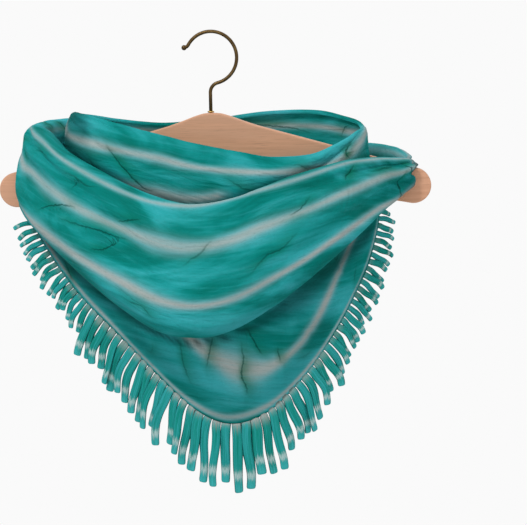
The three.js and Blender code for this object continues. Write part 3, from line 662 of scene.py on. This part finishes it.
def laid_grid(name, points, uv, attributes):
    """points[i, j] in mm, uv[i, j] in metres, and attributes as name: values[i, j]."""
    lines, count = points.shape[:2]
    bm = bmesh.new()
    bmesh.ops.create_grid(bm, x_segments=lines - 1, y_segments=count - 1, size=0.5, calc_uvs=True)
    layers = {title: bm.verts.layers.float.new(title) for title in attributes}
    uv_layer = bm.loops.layers.uv.verify()
    for face in bm.faces:
        for loop in face.loops:
            i, j = cell(loop.vert.co, lines, count)
            loop[uv_layer].uv = uv[i, j]
    for vert in bm.verts:
        i, j = cell(vert.co, lines, count)
        for title, layer in layers.items():
            vert[layer] = attributes[title][i, j]
        vert.co = points[i, j] * MM
    bmesh.ops.remove_doubles(bm, verts=bm.verts, dist=1e-6)
    piece = piece_from(bm, name)
    piece.data.uv_layers[0].name = "cloth"
    return piece


# %% Small unevenness, the same on each run
def unevenness(along, down, stations, amount, seed):
    """Long low ripples that run along the ring. A ring's angle is used, so that the ends meet."""
    height = np.zeros((len(along), len(down)))
    for i, place in enumerate(along):
        turn = 2 * math.pi * place / stations
        for j, depth in enumerate(down):
            spot = Vector((2.2 * math.cos(turn) + seed, 2.2 * math.sin(turn), 9 * depth))
            fine = Vector((7 * math.cos(turn), 7 * math.sin(turn) + seed, 26 * depth))
            height[i, j] = noise.noise(spot) + 0.4 * noise.noise(fine)
    return amount * height


# %% The whole sheet
CLOTH_THICKNESS = 1.2
PINCH_DEPTH, PINCH_WIDTH = 0.9, 2.2
RIDGE_SHARE, RIDGE_PLACE, RIDGE_WIDTH = 0.6, 4, 3
CALM_STATIONS, CALM_LEAST = 1.6, 0.12


def sheet_of_cloth(
    name, surface, stations, steps, down_steps, folds, bands, painted_shade, veins,
    crossings, uneven, seed, hem_shade,
):
    """crossings: the stations on the wood. hem_shade: how far from the hem painted shade reaches, in mm,
    and how dark.
    """
    along = np.linspace(0, stations, stations * steps + 1)
    down = np.linspace(0, 1, down_steps + 1)
    points = surface(along[:-1], down)
    out = facing(points)
    half = stations / 2
    near_wood = np.min([np.abs((along[:-1] - c + half) % stations - half) for c in crossings], 0)
    calm = np.clip(near_wood / CALM_STATIONS, CALM_LEAST, 1)[:, None]
    height = fold_height(folds, along[:-1], down)
    height += calm * unevenness(along[:-1], down, stations, uneven, seed)
    distance, power, stain = vein_fields(veins, surface, points, out, along[:-1], down)
    pinch = np.exp(-((distance / PINCH_WIDTH) ** 2))
    pinch -= RIDGE_SHARE * np.exp(-(((distance - RIDGE_PLACE) / RIDGE_WIDTH) ** 2))
    height -= calm * PINCH_DEPTH * power * pinch
    points = points + out * height[..., None]
    bands_here = band_strength(bands, points, along[:-1], down)
    # Painted shade along the hem: the colour is darkened within hem_shade[0] mm of it, for the shadow at
    # the edge.
    to_hem = np.cumsum(np.linalg.norm(np.diff(points, axis=1), axis=-1)[:, ::-1], axis=1)[:, ::-1]
    at_hem = np.ones(height.shape)
    at_hem[:, :-1] = np.exp(-((to_hem / hem_shade[0]) ** 2))
    fields = {
        "band": bands_here, "vein_distance": distance, "vein_power": power, "stain": stain,
        "painted_shade": np.maximum(hem_shade[1] * at_hem, band_strength(painted_shade, points, along[:-1], down)),
    }
    ring = lambda values: np.concatenate([values, values[:1]], 0)
    points = ring(points)
    depth = np.zeros(points.shape[:2])
    depth[:, 1:] = np.cumsum(np.linalg.norm(np.diff(points, axis=1), axis=-1), axis=1)
    middle = points[:, down_steps // 2]
    length = np.concatenate([[0], np.cumsum(np.linalg.norm(np.diff(middle, axis=0), axis=-1))])
    uv = np.stack([np.broadcast_to(length[:, None], depth.shape), depth], -1) * MM
    piece = laid_grid(name, points, uv, {title: ring(values) for title, values in fields.items()})
    shell = piece.modifiers.new("cloth thickness", "SOLIDIFY")
    shell.thickness, shell.offset = CLOTH_THICKNESS * MM, 0
    print(name, "faces:", len(piece.data.polygons), "mm:", round(length[-1]), "by", round(depth.max()))
    return piece


# The cowl's turned-in lower edge gets a wide band of painted shade, the point's hem a thin dark line of it.
outer_sheet = sheet_of_cloth(
    "cowl_wrap_cloth", outer_lattice, len(OUTER_LOOP), 12, 118,
    OUTER_FOLDS, OUTER_BANDS, OUTER_PAINTED_SHADE, OUTER_VEINS,
    crossings=(0, 18), uneven=1.3, seed=3.0, hem_shade=(14, 0.75),
)
inner_sheet = sheet_of_cloth(
    "neck_wrap_and_point_cloth", inner_lattice, len(INNER_RING), 12, 110,
    INNER_FOLDS, INNER_BANDS, INNER_PAINTED_SHADE, INNER_VEINS,
    crossings=(0, 18), uneven=1.1, seed=8.0, hem_shade=(1.6, 0.7),
)

# %% [markdown]
# ## The look of the cloth
# A soft woven cloth scatters light and has a faint sheen where it turns away. The dye gives it a deep
# teal that clouds into a lighter, bluer one, in streaks and fine fibres along the cloth. Where it was
# bound it is pale grey with feathered edges, and each crease has a thin dark green line with a soft
# stain beside it. The streaks are noise on the cloth's own map, stretched along the ring, so they flow
# round it as woven cloth does. A bump gives the small crumples that no table of folds could hold.

# %% The finish of the cloth
DEEP_TEAL, TEAL, LIGHT_TEAL = colour(0, 112, 102), colour(4, 147, 144), colour(64, 182, 192)
PALE_BAND, BLUE_EDGE, DARK_LINE = colour(182, 180, 176), colour(116, 177, 184), colour(0, 66, 54)
# The last colour here is painted shade: the dark teal put where shadow falls, under and between folds and
# strands.
GREEN_STAIN, SHADE_PAINT = colour(0, 108, 78), colour(4, 56, 54)


def cloth_finish():
    finish = Finish("dyed cloth")
    spot = lambda along, down, shift=0.0: finish.place("cloth", (along, down, 1), (shift, shift, 0))
    clouds = finish.cloudy(spot(5, 14), detail=4, rough=0.52, warp=1.4)
    flow = finish.cloudy(spot(10, 60, 3), detail=5, rough=0.55, warp=0.9)
    threads = finish.cloudy(spot(220, 900, 7), detail=2, rough=0.6)
    fibres = finish.cloudy(spot(14, 300, 15), detail=3, rough=0.6, warp=0.5)
    band = finish.attribute("band")
    soft_band = band + (flow - 0.5) * 0.4 + (clouds - 0.5) * 0.3 + (threads - 0.5) * 0.15
    ragged = finish.cloudy(spot(160, 160, 5), detail=3, rough=0.6)
    off = (finish.attribute("vein_distance") + (ragged - 0.5) * 4).size()
    power = finish.attribute("vein_power")
    line = (1 - off.rise(0.1, 1.3)) * power.rise(0.1, 1.0)
    stain = finish.attribute("stain") * (clouds + (flow - 0.5) * 0.8).rise(0.3, 0.6)
    dye = clouds * 0.9 + flow * 0.22
    base = finish.mix(DEEP_TEAL, TEAL, dye.rise(0.4, 0.62))
    base = finish.mix(base, LIGHT_TEAL, dye.rise(0.48, 0.74) * 0.8)
    base = finish.mix(base, BLUE_EDGE, soft_band.rise(-0.05, 0.65) * 0.7)
    base = finish.mix(base, PALE_BAND, soft_band.rise(0.35, 1.25) * 0.95)
    base = finish.mix(base, GREEN_STAIN, stain * 0.95)
    base = finish.mix(base, DARK_LINE, line * 0.8)
    base = finish.mix(base, DEEP_TEAL, threads.rise(0.5, 0.75) * 0.25)
    base = finish.mix(base, DEEP_TEAL, fibres.rise(0.5, 0.7) * 0.14)
    base = finish.mix(base, LIGHT_TEAL, (1 - fibres.rise(0.32, 0.47)) * 0.12)
    # Painted shade: darker where one wrap lies on or over the other, along the hems and in the pockets.
    base = finish.mix(base, SHADE_PAINT, finish.attribute("painted_shade"))
    warp_threads = finish.node("TexWave", {"bands_direction": "X"}, {"Vector": spot(1, 1), "Scale": 560.0})
    weft_threads = finish.node("TexWave", {"bands_direction": "Y"}, {"Vector": spot(1, 1), "Scale": 560.0})
    creases = finish.cloudy(spot(18, 80, 11), detail=4, rough=0.55, warp=1.2)
    ridges = (finish.cloudy(spot(14, 44, 17), detail=3, rough=0.55, warp=1.6) - 0.5).size()
    pleats = finish.cloudy(spot(70, 14, 13), detail=3, rough=0.5, warp=0.9)
    height = creases * 1.7 + ridges * 3.0 + pleats * 1.8 + (warp_threads + weft_threads) * 0.03 - line * 0.4
    return finish.surface(
        height, 1.0, 0.9,
        Base_Color=base, Roughness=0.8, Sheen_Weight=0.03, Sheen_Roughness=0.45, Sheen_Tint=LIGHT_TEAL,
        Specular_IOR_Level=0.06,
    )


cloth_look = cloth_finish()
for sheet_piece, stands_for in (
    (outer_sheet, ("cowl_front", "shoulder_wrap_back")),
    (inner_sheet, ("point_drape_front", "neck_wrap_back")),
):
    sheet_piece.data.materials.append(cloth_look)
    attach(sheet_piece, "root")
    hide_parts(*stands_for)
print("nodes in the cloth's finish:", len(cloth_look.node_tree.nodes))

# %% [markdown]
# ## The fringe
# The hem carries flat strands of bundled threads, finer and shorter towards both of its ends. Each
# leaves the hem square to it, leans outwards near the ends of the hem, droops by its own weight and
# waves a little, as soft yarn does. A strand is a grid again, rolled into a flattened tube with shallow
# grooves between its threads. Its root is tucked under the hem, and its tip is cut and a little
# rounded. The strands start and run where the ones of the solids do.

# %% The four runs of the hem: what each measure is at its first strand and at its last
FRINGE_RUNS = {
    "fringe_left_upper": dict(
        stations=(2.87, 5.39), pitch=7.4, length=(19, 27), splay=(0.6, 0.05), droop=(0.4, 0.65), seed=0,
        width=(5.4, 6.8), root=(0.1, 0.35),
    ),
    "fringe_left_lower": dict(
        stations=(5.41, 9.07), pitch=9.2, length=(44, 61), splay=(-0.05, -0.6), droop=(0.7, 0.95), seed=20,
        width=(8.0, 9.4), root=(0.5, 0.95),
    ),
    "fringe_right_lower": dict(
        stations=(9.1, 11.94), pitch=9.2, length=(61, 34), splay=(-0.6, -0.05), droop=(0.95, 0.65), seed=40,
        width=(9.4, 8.0), root=(0.95, 0.3),
    ),
    "fringe_right_upper": dict(
        stations=(11.96, 15.3), pitch=7.6, length=(29, 15), splay=(-0.05, 0.35), droop=(0.6, 0.25), seed=60,
        width=(7.0, 5.4), root=(0.25, 0.1),
    ),
}
STRAND_STEPS, STRAND_LIFT, STRAND_START, HEM_STEP = 5, 2, 2.94, 0.15
SPLAY_SPREAD, STRAND_WAVE, ROOT_TUCK, ROOT_SINK = 0.18, 1.4, 2.5, 1.5
print("runs of fringe:", len(FRINGE_RUNS))


# %% Where each strand starts, and the line that it follows
def scatter(seed):
    return math.sin(seed * 127.1 + 11.7) * 43758.5453 % 1


def strand_stations(first, last, pitch, step=0.01):
    places = np.arange(first, last + 0.5 * step, step)
    hem = inner_lattice(places, np.array([1.0]))[:, 0]
    walked = pitch / 2 + np.cumsum(np.linalg.norm(np.diff(hem, axis=0), axis=-1))
    whole = np.floor(walked / pitch).astype(int)
    return places[:-1][np.diff(whole, prepend=0) > 0]


def strand_line(along, seed, length, splay, droop, wavy):
    """Points from under the hem to the tip, and the way that the cloth faces there."""
    near = inner_lattice(along + np.array([-HEM_STEP, 0, HEM_STEP]), np.array([0.96, 0.98, 1.0]))
    at, out = near[1, 2], facing(near, closed=False)[1, 2]
    leave = np.cross(near[2, 2] - near[0, 2], out)
    leave *= np.sign(leave @ (at - near[1, 0])) / np.linalg.norm(leave)
    start = leave + np.array([leave[0], leave[1], 0]) * (splay + SPLAY_SPREAD * (scatter(seed + 0.2) - 0.5))
    start /= np.linalg.norm(start)
    lift = STRAND_LIFT if seed % 2 == 0 else -STRAND_LIFT
    line = [at + leave * STRAND_START]
    for k in range(STRAND_STEPS):
        share = (k + 0.5) / STRAND_STEPS
        turn = droop * share * (0.85 + 0.3 * scatter(seed))
        way = start * (1 - turn) + np.array([0, 0, -1]) * turn
        rise = (lift / length) * math.cos(math.pi / 2 * share) * math.pi / 2
        way = way / np.linalg.norm(way) + out * rise
        swing = wavy * math.cos(2 * math.pi * (share + scatter(seed + 0.4)))
        line.append(line[-1] + way * length / STRAND_STEPS + np.cross(out, way) * swing)
    root = at - leave * ROOT_TUCK - out * ROOT_SINK
    return np.array([root, *line]), out


line_try, _ = strand_line(9.0, 41, 60, 0, 0.9, STRAND_WAVE)
print("a strand at the point, mm:", np.round(line_try[[0, -1]]).tolist())

# %% One strand, a grid rolled up and drawn along its line
AROUND, RINGS, THREADS = 32, 22, 7
STRAND_THICKNESS, TIP_ROUNDING = 3.2, 2.4


def add_strand(bm, layers, line, out, width, root, seed):
    """Each ring is a share of the way along and the share of the full width that it has there."""
    made = bmesh.ops.create_grid(bm, x_segments=AROUND, y_segments=RINGS, size=0.5, calc_uvs=True)["verts"]
    tip = TIP_ROUNDING / np.linalg.norm(np.diff(line, axis=0), axis=-1).sum()
    rings = [((1 - tip) * j / (RINGS - 4), 1.0) for j in range(RINGS - 3)]
    rings += [(1 - 0.45 * tip, 0.94), (1 - 0.12 * tip, 0.8), (1, 0.6), (1, 0)]
    middle = smooth_down(line[None], [share for share, _ in rings])[0]
    ways = smooth_down(line[None], [min(share + 0.02, 1) for share, _ in rings])[0] - middle
    ways[-5:] = ways[-6]
    ways /= np.linalg.norm(ways, axis=-1, keepdims=True)
    across = np.cross(out, ways)
    across /= np.linalg.norm(across, axis=-1, keepdims=True)
    above = np.cross(ways, across)
    roll = (scatter(seed + 0.3) - 0.5) * 0.8
    for vert in made:
        i, j = round((vert.co.x + 0.5) * AROUND), round((vert.co.y + 0.5) * RINGS)
        share, full = rings[j]
        turn = 2 * math.pi * i / AROUND
        groove = 1 + 0.05 * math.cos(2 * THREADS * turn) + 0.02 * math.sin(5 * turn + seed)
        swell = 0.88 + 0.12 * math.sin(math.pi * min(1, share * 1.2)) + 0.03 * math.sin(share * 9 + seed)
        flat = math.copysign(abs(math.cos(turn)) ** 0.75, math.cos(turn)) * width / 2
        thick = math.sin(turn) * STRAND_THICKNESS / 2
        twist = roll * share
        side = across[j] * math.cos(twist) + above[j] * math.sin(twist)
        lift = above[j] * math.cos(twist) - across[j] * math.sin(twist)
        vert.co = (middle[j] + (side * flat + lift * thick) * groove * swell * full) * MM
        vert[layers["strand_share"]] = share
        vert[layers["strand_tint"]] = scatter(seed + 0.7)
        vert[layers["strand_across"]] = math.cos(turn) * width
        # How near a point is to the strand's edge, where shade is painted.
        vert[layers["strand_edge_shade"]] = abs(math.cos(turn))
        vert[layers["strand_root"]] = root


def fringe(name, stations, pitch, length, splay, droop, seed, width, root):
    bm = bmesh.new()
    titles = ("strand_share", "strand_tint", "strand_across", "strand_edge_shade", "strand_root")
    layers = {title: bm.verts.layers.float.new(title) for title in titles}
    places = strand_stations(*stations, pitch)
    for k, along in enumerate(places):
        mix = lambda ends: ends[0] + (ends[1] - ends[0]) * k / (len(places) - 1)
        long = mix(length) * (0.88 + 0.24 * scatter(seed + k + 0.5))
        wavy = STRAND_WAVE * min(1, long / 40) * (0.3 if k in (0, len(places) - 1) else 1)
        line, out = strand_line(along, seed + k, long, mix(splay), mix(droop), wavy)
        wide = mix(width) * (0.9 + 0.2 * scatter(seed + k + 0.9))
        add_strand(bm, layers, line, out, wide, mix(root), seed + k)
    bmesh.ops.remove_doubles(bm, verts=bm.verts, dist=1e-6)
    bmesh.ops.recalc_face_normals(bm, faces=bm.faces)
    piece = piece_from(bm, name + "_strands")
    print(piece.name, "strands:", len(places), "faces:", len(piece.data.polygons))
    return piece


fringe_pieces = {name: fringe(name, **run) for name, run in FRINGE_RUNS.items()}


# %% [markdown]
# ## The look of the fringe
# The same dye, but on loose threads. A strand is greyish at its root, where the binding of the hem kept
# the dye out, then teal, with one pale band near its end and a lighter tip. The streaks run along it,
# because they are threads. Shade is painted on too: each strand is darker along its edges, for the
# shadow between strands, and just below the hem, for the shadow that the hem casts.

# %% The finish of the fringe
STRAND_GREEN, STRAND_TIP, STRAND_PALE = colour(4, 142, 129), colour(70, 188, 190), colour(182, 208, 206)


def fringe_finish():
    finish = Finish("dyed fringe")
    share, tint = finish.attribute("strand_share"), finish.attribute("strand_tint")
    across, edge = finish.attribute("strand_across"), finish.attribute("strand_edge_shade")
    place = finish.node("CombineXYZ", {}, {"X": across, "Y": share * 3 + tint * 50, "Z": tint * 90})
    threads = finish.cloudy(finish.node("Mapping", {}, {"Vector": place, "Scale": (0.8, 0.6, 1)}), detail=3)
    fine = finish.cloudy(finish.node("Mapping", {}, {"Vector": place, "Scale": (2.6, 0.4, 1)}), detail=2)
    ragged = (threads - 0.5) * 0.2 + (fine - 0.5) * 0.24
    centre = tint * 0.1 + 0.74
    band = 1 - (share - centre + ragged).size().rise(0.02, 0.07)
    root = 1 - (share + ragged + (tint - 0.5) * 0.16).rise(0.06, 0.26)
    base = finish.mix(DEEP_TEAL, STRAND_GREEN, (threads * 0.8 + tint * 0.3).rise(0.2, 0.5))
    base = finish.mix(base, LIGHT_TEAL, (threads * 0.7 + fine * 0.4 + tint * 0.15).rise(0.52, 0.8) * 0.6)
    base = finish.mix(base, STRAND_TIP, (share + ragged * 0.6).rise(0.78, 0.98) * 0.6)
    base = finish.mix(base, PALE_BAND, root * finish.attribute("strand_root"))
    base = finish.mix(base, STRAND_PALE, band * 0.85)
    base = finish.mix(base, DARK_LINE, (1 - fine.rise(0.3, 0.42)) * 0.55)
    # Painted shade: each strand darker along its edges, for the shadow between strands, and at its root
    # under the hem.
    base = finish.mix(base, SHADE_PAINT, edge.rise(0.86, 1.0) * 0.8)
    base = finish.mix(base, SHADE_PAINT, (1 - share.rise(0.03, 0.1)) * 0.7)
    height = fine * 0.3 + threads * 0.25
    return finish.surface(
        height, 1.0, 0.8,
        Base_Color=base, Roughness=0.6, Sheen_Weight=0.03, Sheen_Tint=LIGHT_TEAL, Specular_IOR_Level=0.12,
    )


fringe_look = fringe_finish()
for name, piece in fringe_pieces.items():
    piece.data.materials.append(fringe_look)
    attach(piece, "root")
    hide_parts(name)
print("nodes in the fringe's finish:", len(fringe_look.node_tree.nodes))

# %% [markdown]
# ## The wooden hanger
# A flat board, sawn to an arched outline with round ends, with its edges rounded over. Half the outline
# is drawn as a chain of edges, its round end is turned with spin, and mirror gives the other half. The
# face is then extruded to the board's thickness and its edges are bevelled.

# %% The board's own sizes, in mm
END_REACH, END_RADIUS, END_LEVEL, BOARD_THICKNESS = 204.4, 18, -156.7, 12
SHOULDER_SLOPE, SHOULDER_PLACES, EDGE_ROUNDING = 0.28, (165, 110, 62), 1.8
CROWN = [(46, -93.6), (31, -88.5), (19, -84), (9, -81.1), (0, -80.3)]
ARCH = [(170, -168.8), (120, -157), (60, -146), (0, -142)]
shoulder_tilt = math.atan(SHOULDER_SLOPE)
arc_start = math.pi / 2 - shoulder_tilt
shoulder = (END_REACH + END_RADIUS * math.cos(arc_start), END_LEVEL + END_RADIUS * math.sin(arc_start))
print("slope meets the round end at", np.round(shoulder, 1).tolist())


# %% The edges or the vertices among the parts of a mesh
def edges_of(parts):
    return [part for part in parts if isinstance(part, bmesh.types.BMEdge)]


def verts_of(parts):
    return [part for part in parts if isinstance(part, bmesh.types.BMVert)]


# %% The board
def smooth_chain(bm, points, steps, start=None):
    """A chain of edges on a smooth curve through points, given as (x, z) in mm."""
    run = smooth_down(np.array([[(x, 0, z) for x, z in points]], float), np.linspace(0, 1, steps + 1))[0]
    last = start or bm.verts.new(run[0] * MM)
    for place in run[1:]:
        vert = bm.verts.new(place * MM)
        bm.edges.new((last, vert))
        last = vert
    return last


def hanger_board():
    bm = bmesh.new()
    slope = [(x, shoulder[1] + SHOULDER_SLOPE * (shoulder[0] - x)) for x in SHOULDER_PLACES]
    top = smooth_chain(bm, [*reversed(CROWN), *reversed(slope), shoulder], 60)
    turned = bmesh.ops.spin(
        bm, geom=[top], cent=Vector((END_REACH, 0, END_LEVEL)) * MM, axis=(0, 1, 0),
        angle=arc_start + math.radians(104), steps=32, use_merge=False, use_duplicate=False,
    )["geom_last"]
    end = verts_of(turned)[0]
    smooth_chain(bm, [(end.co.x / MM, end.co.z / MM), *ARCH], 50, start=end)
    bmesh.ops.mirror(bm, geom=[*bm.verts, *bm.edges], axis="X", merge_dist=1e-5)
    bmesh.ops.remove_doubles(bm, verts=bm.verts, dist=1e-5)
    face = bmesh.ops.contextual_create(bm, geom=bm.edges[:])["faces"]
    bmesh.ops.translate(bm, verts=bm.verts, vec=(0, -BOARD_THICKNESS / 2 * MM, 0))
    raised = bmesh.ops.extrude_face_region(bm, geom=face)["geom"]
    bmesh.ops.translate(bm, verts=verts_of(raised), vec=(0, BOARD_THICKNESS * MM, 0))
    bmesh.ops.recalc_face_normals(bm, faces=bm.faces)
    rims = [edge for edge in bm.edges if abs(edge.verts[0].co.y - edge.verts[1].co.y) < 1e-6]
    bmesh.ops.bevel(
        bm, geom=rims, offset=EDGE_ROUNDING * MM, segments=3, profile=0.5, affect="EDGES", material=-1,
    )
    piece = piece_from(bm, "wooden_board", smooth=False)
    print("board faces:", len(piece.data.polygons))
    return piece


board = hanger_board()

# %% [markdown]
# ## The wire hook and its collar
# A round wire is bent cold: a stem, a tight bend, a long round arc and a turned tip, closed by a small
# ball. A circle is extruded up the stem, and each bend is one spin of the section that the last one
# left. The collar is a small ring, a profile spun round the stem.

# %% The hook
WIRE_RADIUS, STEM_X, STEM_FOOT, STEM_TOP = 1.8, -1.2, -107.3, -59.7
HOOK_CENTRE, HOOK_RADIUS, BEND_RADIUS, BEND_ANGLE, ARC_ANGLE = (0, -24.5), 26.3, 9.97, 76, 226
TIP_RADIUS, TIP_ANGLE, TIP_BALL = 5.0, 42, 2.7


def wire_hook():
    bm = bmesh.new()
    foot = Matrix.Translation(Vector((STEM_X, 0, STEM_FOOT)) * MM)
    bmesh.ops.create_circle(bm, cap_ends=True, radius=WIRE_RADIUS * MM, segments=20, matrix=foot)
    section = bmesh.ops.extrude_edge_only(bm, edges=bm.edges[:])["geom"]
    bmesh.ops.translate(bm, verts=verts_of(section), vec=(0, 0, (STEM_TOP - STEM_FOOT) * MM))
    arc_end = math.radians(ARC_ANGLE - BEND_ANGLE)
    tip_side = Vector((math.cos(arc_end), 0, math.sin(arc_end)))
    middle = Vector((HOOK_CENTRE[0], 0, HOOK_CENTRE[1]))
    bends = [
        (Vector((STEM_X + BEND_RADIUS, 0, STEM_TOP)), 1, BEND_ANGLE, 12),
        (middle, -1, ARC_ANGLE, 64),
        (middle + tip_side * (HOOK_RADIUS + TIP_RADIUS), 1, TIP_ANGLE, 8),
    ]
    for centre, way, angle, steps in bends:
        section = bmesh.ops.spin(
            bm, geom=[*verts_of(section), *edges_of(section)], cent=centre * MM, axis=(0, way, 0),
            angle=math.radians(angle), steps=steps, use_merge=False, use_duplicate=False,
        )["geom_last"]
    tip = sum((vert.co for vert in verts_of(section)), Vector()) / len(verts_of(section))
    bmesh.ops.edgeloop_fill(bm, edges=edges_of(section))
    ball_at = tip + Vector((-1.6, 0, -0.5)) * MM
    bmesh.ops.create_uvsphere(
        bm, u_segments=24, v_segments=16, radius=TIP_BALL * MM, matrix=Matrix.Translation(ball_at),
    )
    bmesh.ops.recalc_face_normals(bm, faces=bm.faces)
    print("hook tip, mm:", np.round(np.array(ball_at) / MM, 1).tolist())
    return piece_from(bm, "wire_hook")


hook = wire_hook()

# %% The collar
COLLAR_INSIDE, COLLAR_RADIUS, COLLAR_FOOT, COLLAR_HEIGHT = 2.1, 3.4, -80.0, 1.6


def stem_collar():
    bm = bmesh.new()
    profile = [
        (COLLAR_INSIDE, 0), (COLLAR_RADIUS - 0.3, 0), (COLLAR_RADIUS, 0.4), (COLLAR_RADIUS, 1.0),
        (COLLAR_RADIUS - 0.35, 1.45), (COLLAR_RADIUS - 0.8, COLLAR_HEIGHT),
        (COLLAR_INSIDE, COLLAR_HEIGHT - 0.1),
    ]
    verts = [bm.verts.new(Vector((STEM_X + r, 0, COLLAR_FOOT + z)) * MM) for r, z in profile]
    edges = [bm.edges.new(pair) for pair in zip(verts, verts[1:] + verts[:1])]
    bmesh.ops.spin(
        bm, geom=[*verts, *edges], cent=Vector((STEM_X, 0, 0)) * MM, axis=(0, 0, 1),
        angle=2 * math.pi, steps=36, use_merge=True, use_duplicate=False,
    )
    bmesh.ops.remove_doubles(bm, verts=bm.verts, dist=1e-6)
    bmesh.ops.recalc_face_normals(bm, faces=bm.faces)
    return piece_from(bm, "stem_collar")


collar = stem_collar()
print("collar faces:", len(collar.data.polygons))


# %% [markdown]
# ## Wood and metal
# The board is pale beech with a faint pink, sanded and left matt. Its grain runs from end to end: long
# thin noise. The wire is steel with an antique bronze coat, darker in its pores and brighter where it
# is rubbed, and the collar is plain brass.

# %% The three finishes
def wood_finish():
    finish = Finish("pale wood")
    grain = finish.cloudy(finish.place("Object", (14, 60, 420)), detail=5, rough=0.6, warp=0.3)
    pores = finish.cloudy(finish.place("Object", (50, 300, 1300), (3, 1, 2)), detail=2, rough=0.5)
    broad = finish.cloudy(finish.place("Object", (4, 20, 40), (1, 2, 3)), detail=2)
    base = finish.mix(colour(214, 158, 124), colour(226, 170, 136), grain.rise(0.3, 0.7))
    base = finish.mix(base, colour(202, 156, 128), broad.rise(0.35, 0.7) * 0.6)
    base = finish.mix(base, colour(172, 126, 100), (1 - pores.rise(0.3, 0.42)) * 0.4)
    return finish.surface(
        grain * 0.12 + pores * 0.1, 1.0, 0.5,
        Base_Color=base, Roughness=grain * 0.12 + 0.5, Specular_IOR_Level=0.35,
    )


def metal_finish(name, dark, bright, rough):
    finish = Finish(name)
    worn = finish.cloudy(finish.place("Object", (160, 160, 90)), detail=4, rough=0.6)
    fine = finish.cloudy(finish.place("Object", (900, 900, 900)), detail=2)
    base = finish.mix(dark, bright, worn.rise(0.3, 0.8))
    return finish.surface(
        worn * 0.05 + fine * 0.03, 1.0, 0.5, Base_Color=base, Roughness=worn * 0.2 + rough, Metallic=1.0,
    )


bronze = metal_finish("bronzed wire", colour(84, 66, 42), colour(120, 98, 62), 0.3)
brass = metal_finish("brass", colour(170, 136, 70), colour(214, 178, 104), 0.22)
dressed = (
    (board, "hanger_body", "wood", wood_finish()),
    (hook, "hanger_hook", "hook_metal", bronze),
    (collar, "hook_collar", "collar_metal", brass),
)
for piece, stands_for, slot, look in dressed:
    piece.data.materials.append(look)
    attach(piece, "root")
    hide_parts(stands_for)
print("dressed:", [piece.name for piece, *_ in dressed])

# %% [markdown]
# ## The cut of the cloth
# A sheet of cloth has a flat size, and the wound form may not stretch it. The length round the middle
# of each ring and the depth of its cross lines are printed as each sheet is made, and the area of each
# mesh is printed here.

# %% The area of each sheet
def cloth_area(piece):
    return sum(face.area for face in piece.data.polygons)


for sheet_piece in (outer_sheet, inner_sheet):
    print(sheet_piece.name, "area, m2:", round(cloth_area(sheet_piece), 3))

# %% [markdown]
# ## Floor, light and camera
# The scarf hangs in a white studio. The camera is a little to the right and a little above, with a long
# lens. A soft light above, in front and to the left makes the tops of the folds bright and their
# undersides dark. A large weak one fills in from low in front, and a third lights the back. The
# background is white to the camera but a weaker light to everything else, and the floor far below
# matches it.

# %% The floor
FLOOR_LEVEL, FLOOR_RADIUS, WHITE = -0.62, 40, colour(250, 250, 250)
bm = bmesh.new()
level = Matrix.Translation((0, 0, FLOOR_LEVEL))
bmesh.ops.create_circle(bm, cap_ends=True, radius=FLOOR_RADIUS, segments=64, matrix=level)
floor = piece_from(bm, "studio_floor", smooth=False)
paint = Finish("pale floor")
glow = paint.node("Emission", {}, {"Color": WHITE, "Strength": 1.0})
paint.node("OutputMaterial", {}, {"Surface": glow})
floor.data.materials.append(paint.material)
floor.visible_diffuse = floor.visible_glossy = False
print("floor at", FLOOR_LEVEL)

# %% The white surroundings: white to the camera, and a soft dim light to everything else
world = bpy.data.worlds.new("studio")
bpy.context.scene.world = world
world.use_nodes = True
world_nodes, world_links = world.node_tree.nodes, world.node_tree.links
world_nodes.clear()
seen, around = world_nodes.new("ShaderNodeBackground"), world_nodes.new("ShaderNodeBackground")
ray, choice = world_nodes.new("ShaderNodeLightPath"), world_nodes.new("ShaderNodeMixShader")
seen.inputs["Color"].default_value, seen.inputs["Strength"].default_value = WHITE, 1.0
around.inputs["Color"].default_value, around.inputs["Strength"].default_value = (1, 1, 1, 1), 0.68
world_links.new(ray.outputs["Is Camera Ray"], choice.inputs[0])
world_links.new(around.outputs[0], choice.inputs[1])
world_links.new(seen.outputs[0], choice.inputs[2])
world_links.new(choice.outputs[0], world_nodes.new("ShaderNodeOutputWorld").inputs["Surface"])
bpy.context.scene.view_settings.view_transform = "Standard"
print("world nodes:", len(world_nodes))


# %% The lights
def soft_light(name, place, target, size, power):
    lamp = bpy.data.lights.new(name, "AREA")
    lamp.shape, lamp.size, lamp.energy = "DISK", size, power
    made = bpy.data.objects.new(name, lamp)
    made.location = place
    made.rotation_mode = "QUATERNION"
    made.rotation_quaternion = (Vector(target) - Vector(place)).to_track_quat("-Z", "Y")
    bpy.context.scene.collection.objects.link(made)


soft_light("key", (-0.45, -1.1, 1.0), (0, 0, -0.22), 0.3, 10)
soft_light("fill", (0.3, -1.7, -0.1), (0, 0, -0.25), 1.2, 2)
soft_light("back", (0.3, 1.5, 0.9), (0, 0, -0.2), 1.0, 4)
print("lights:", [light.name for light in bpy.data.lights])

# %% The camera
AZIMUTH, ELEVATION, ROLL, DISTANCE, LENS = 4, 8, 1, 1.5, 99.1
target = Vector((0.050, 0, -0.2352))
a, e = math.radians(AZIMUTH), math.radians(ELEVATION)
back = Vector((math.sin(a) * math.cos(e), -math.cos(a) * math.cos(e), math.sin(e)))
lens = bpy.data.cameras.new("camera")
lens.lens, lens.sensor_width, lens.clip_end = LENS, 36, 200
camera = bpy.data.objects.new("camera", lens)
camera.rotation_mode = "QUATERNION"
camera.location = target + back * DISTANCE
camera.rotation_quaternion = (
    (-back).to_track_quat("-Z", "Y") @ Matrix.Rotation(math.radians(-ROLL), 3, "Z").to_quaternion()
)
bpy.context.scene.collection.objects.link(camera)
bpy.context.scene.camera = camera
print("camera at", [round(v, 3) for v in camera.location])
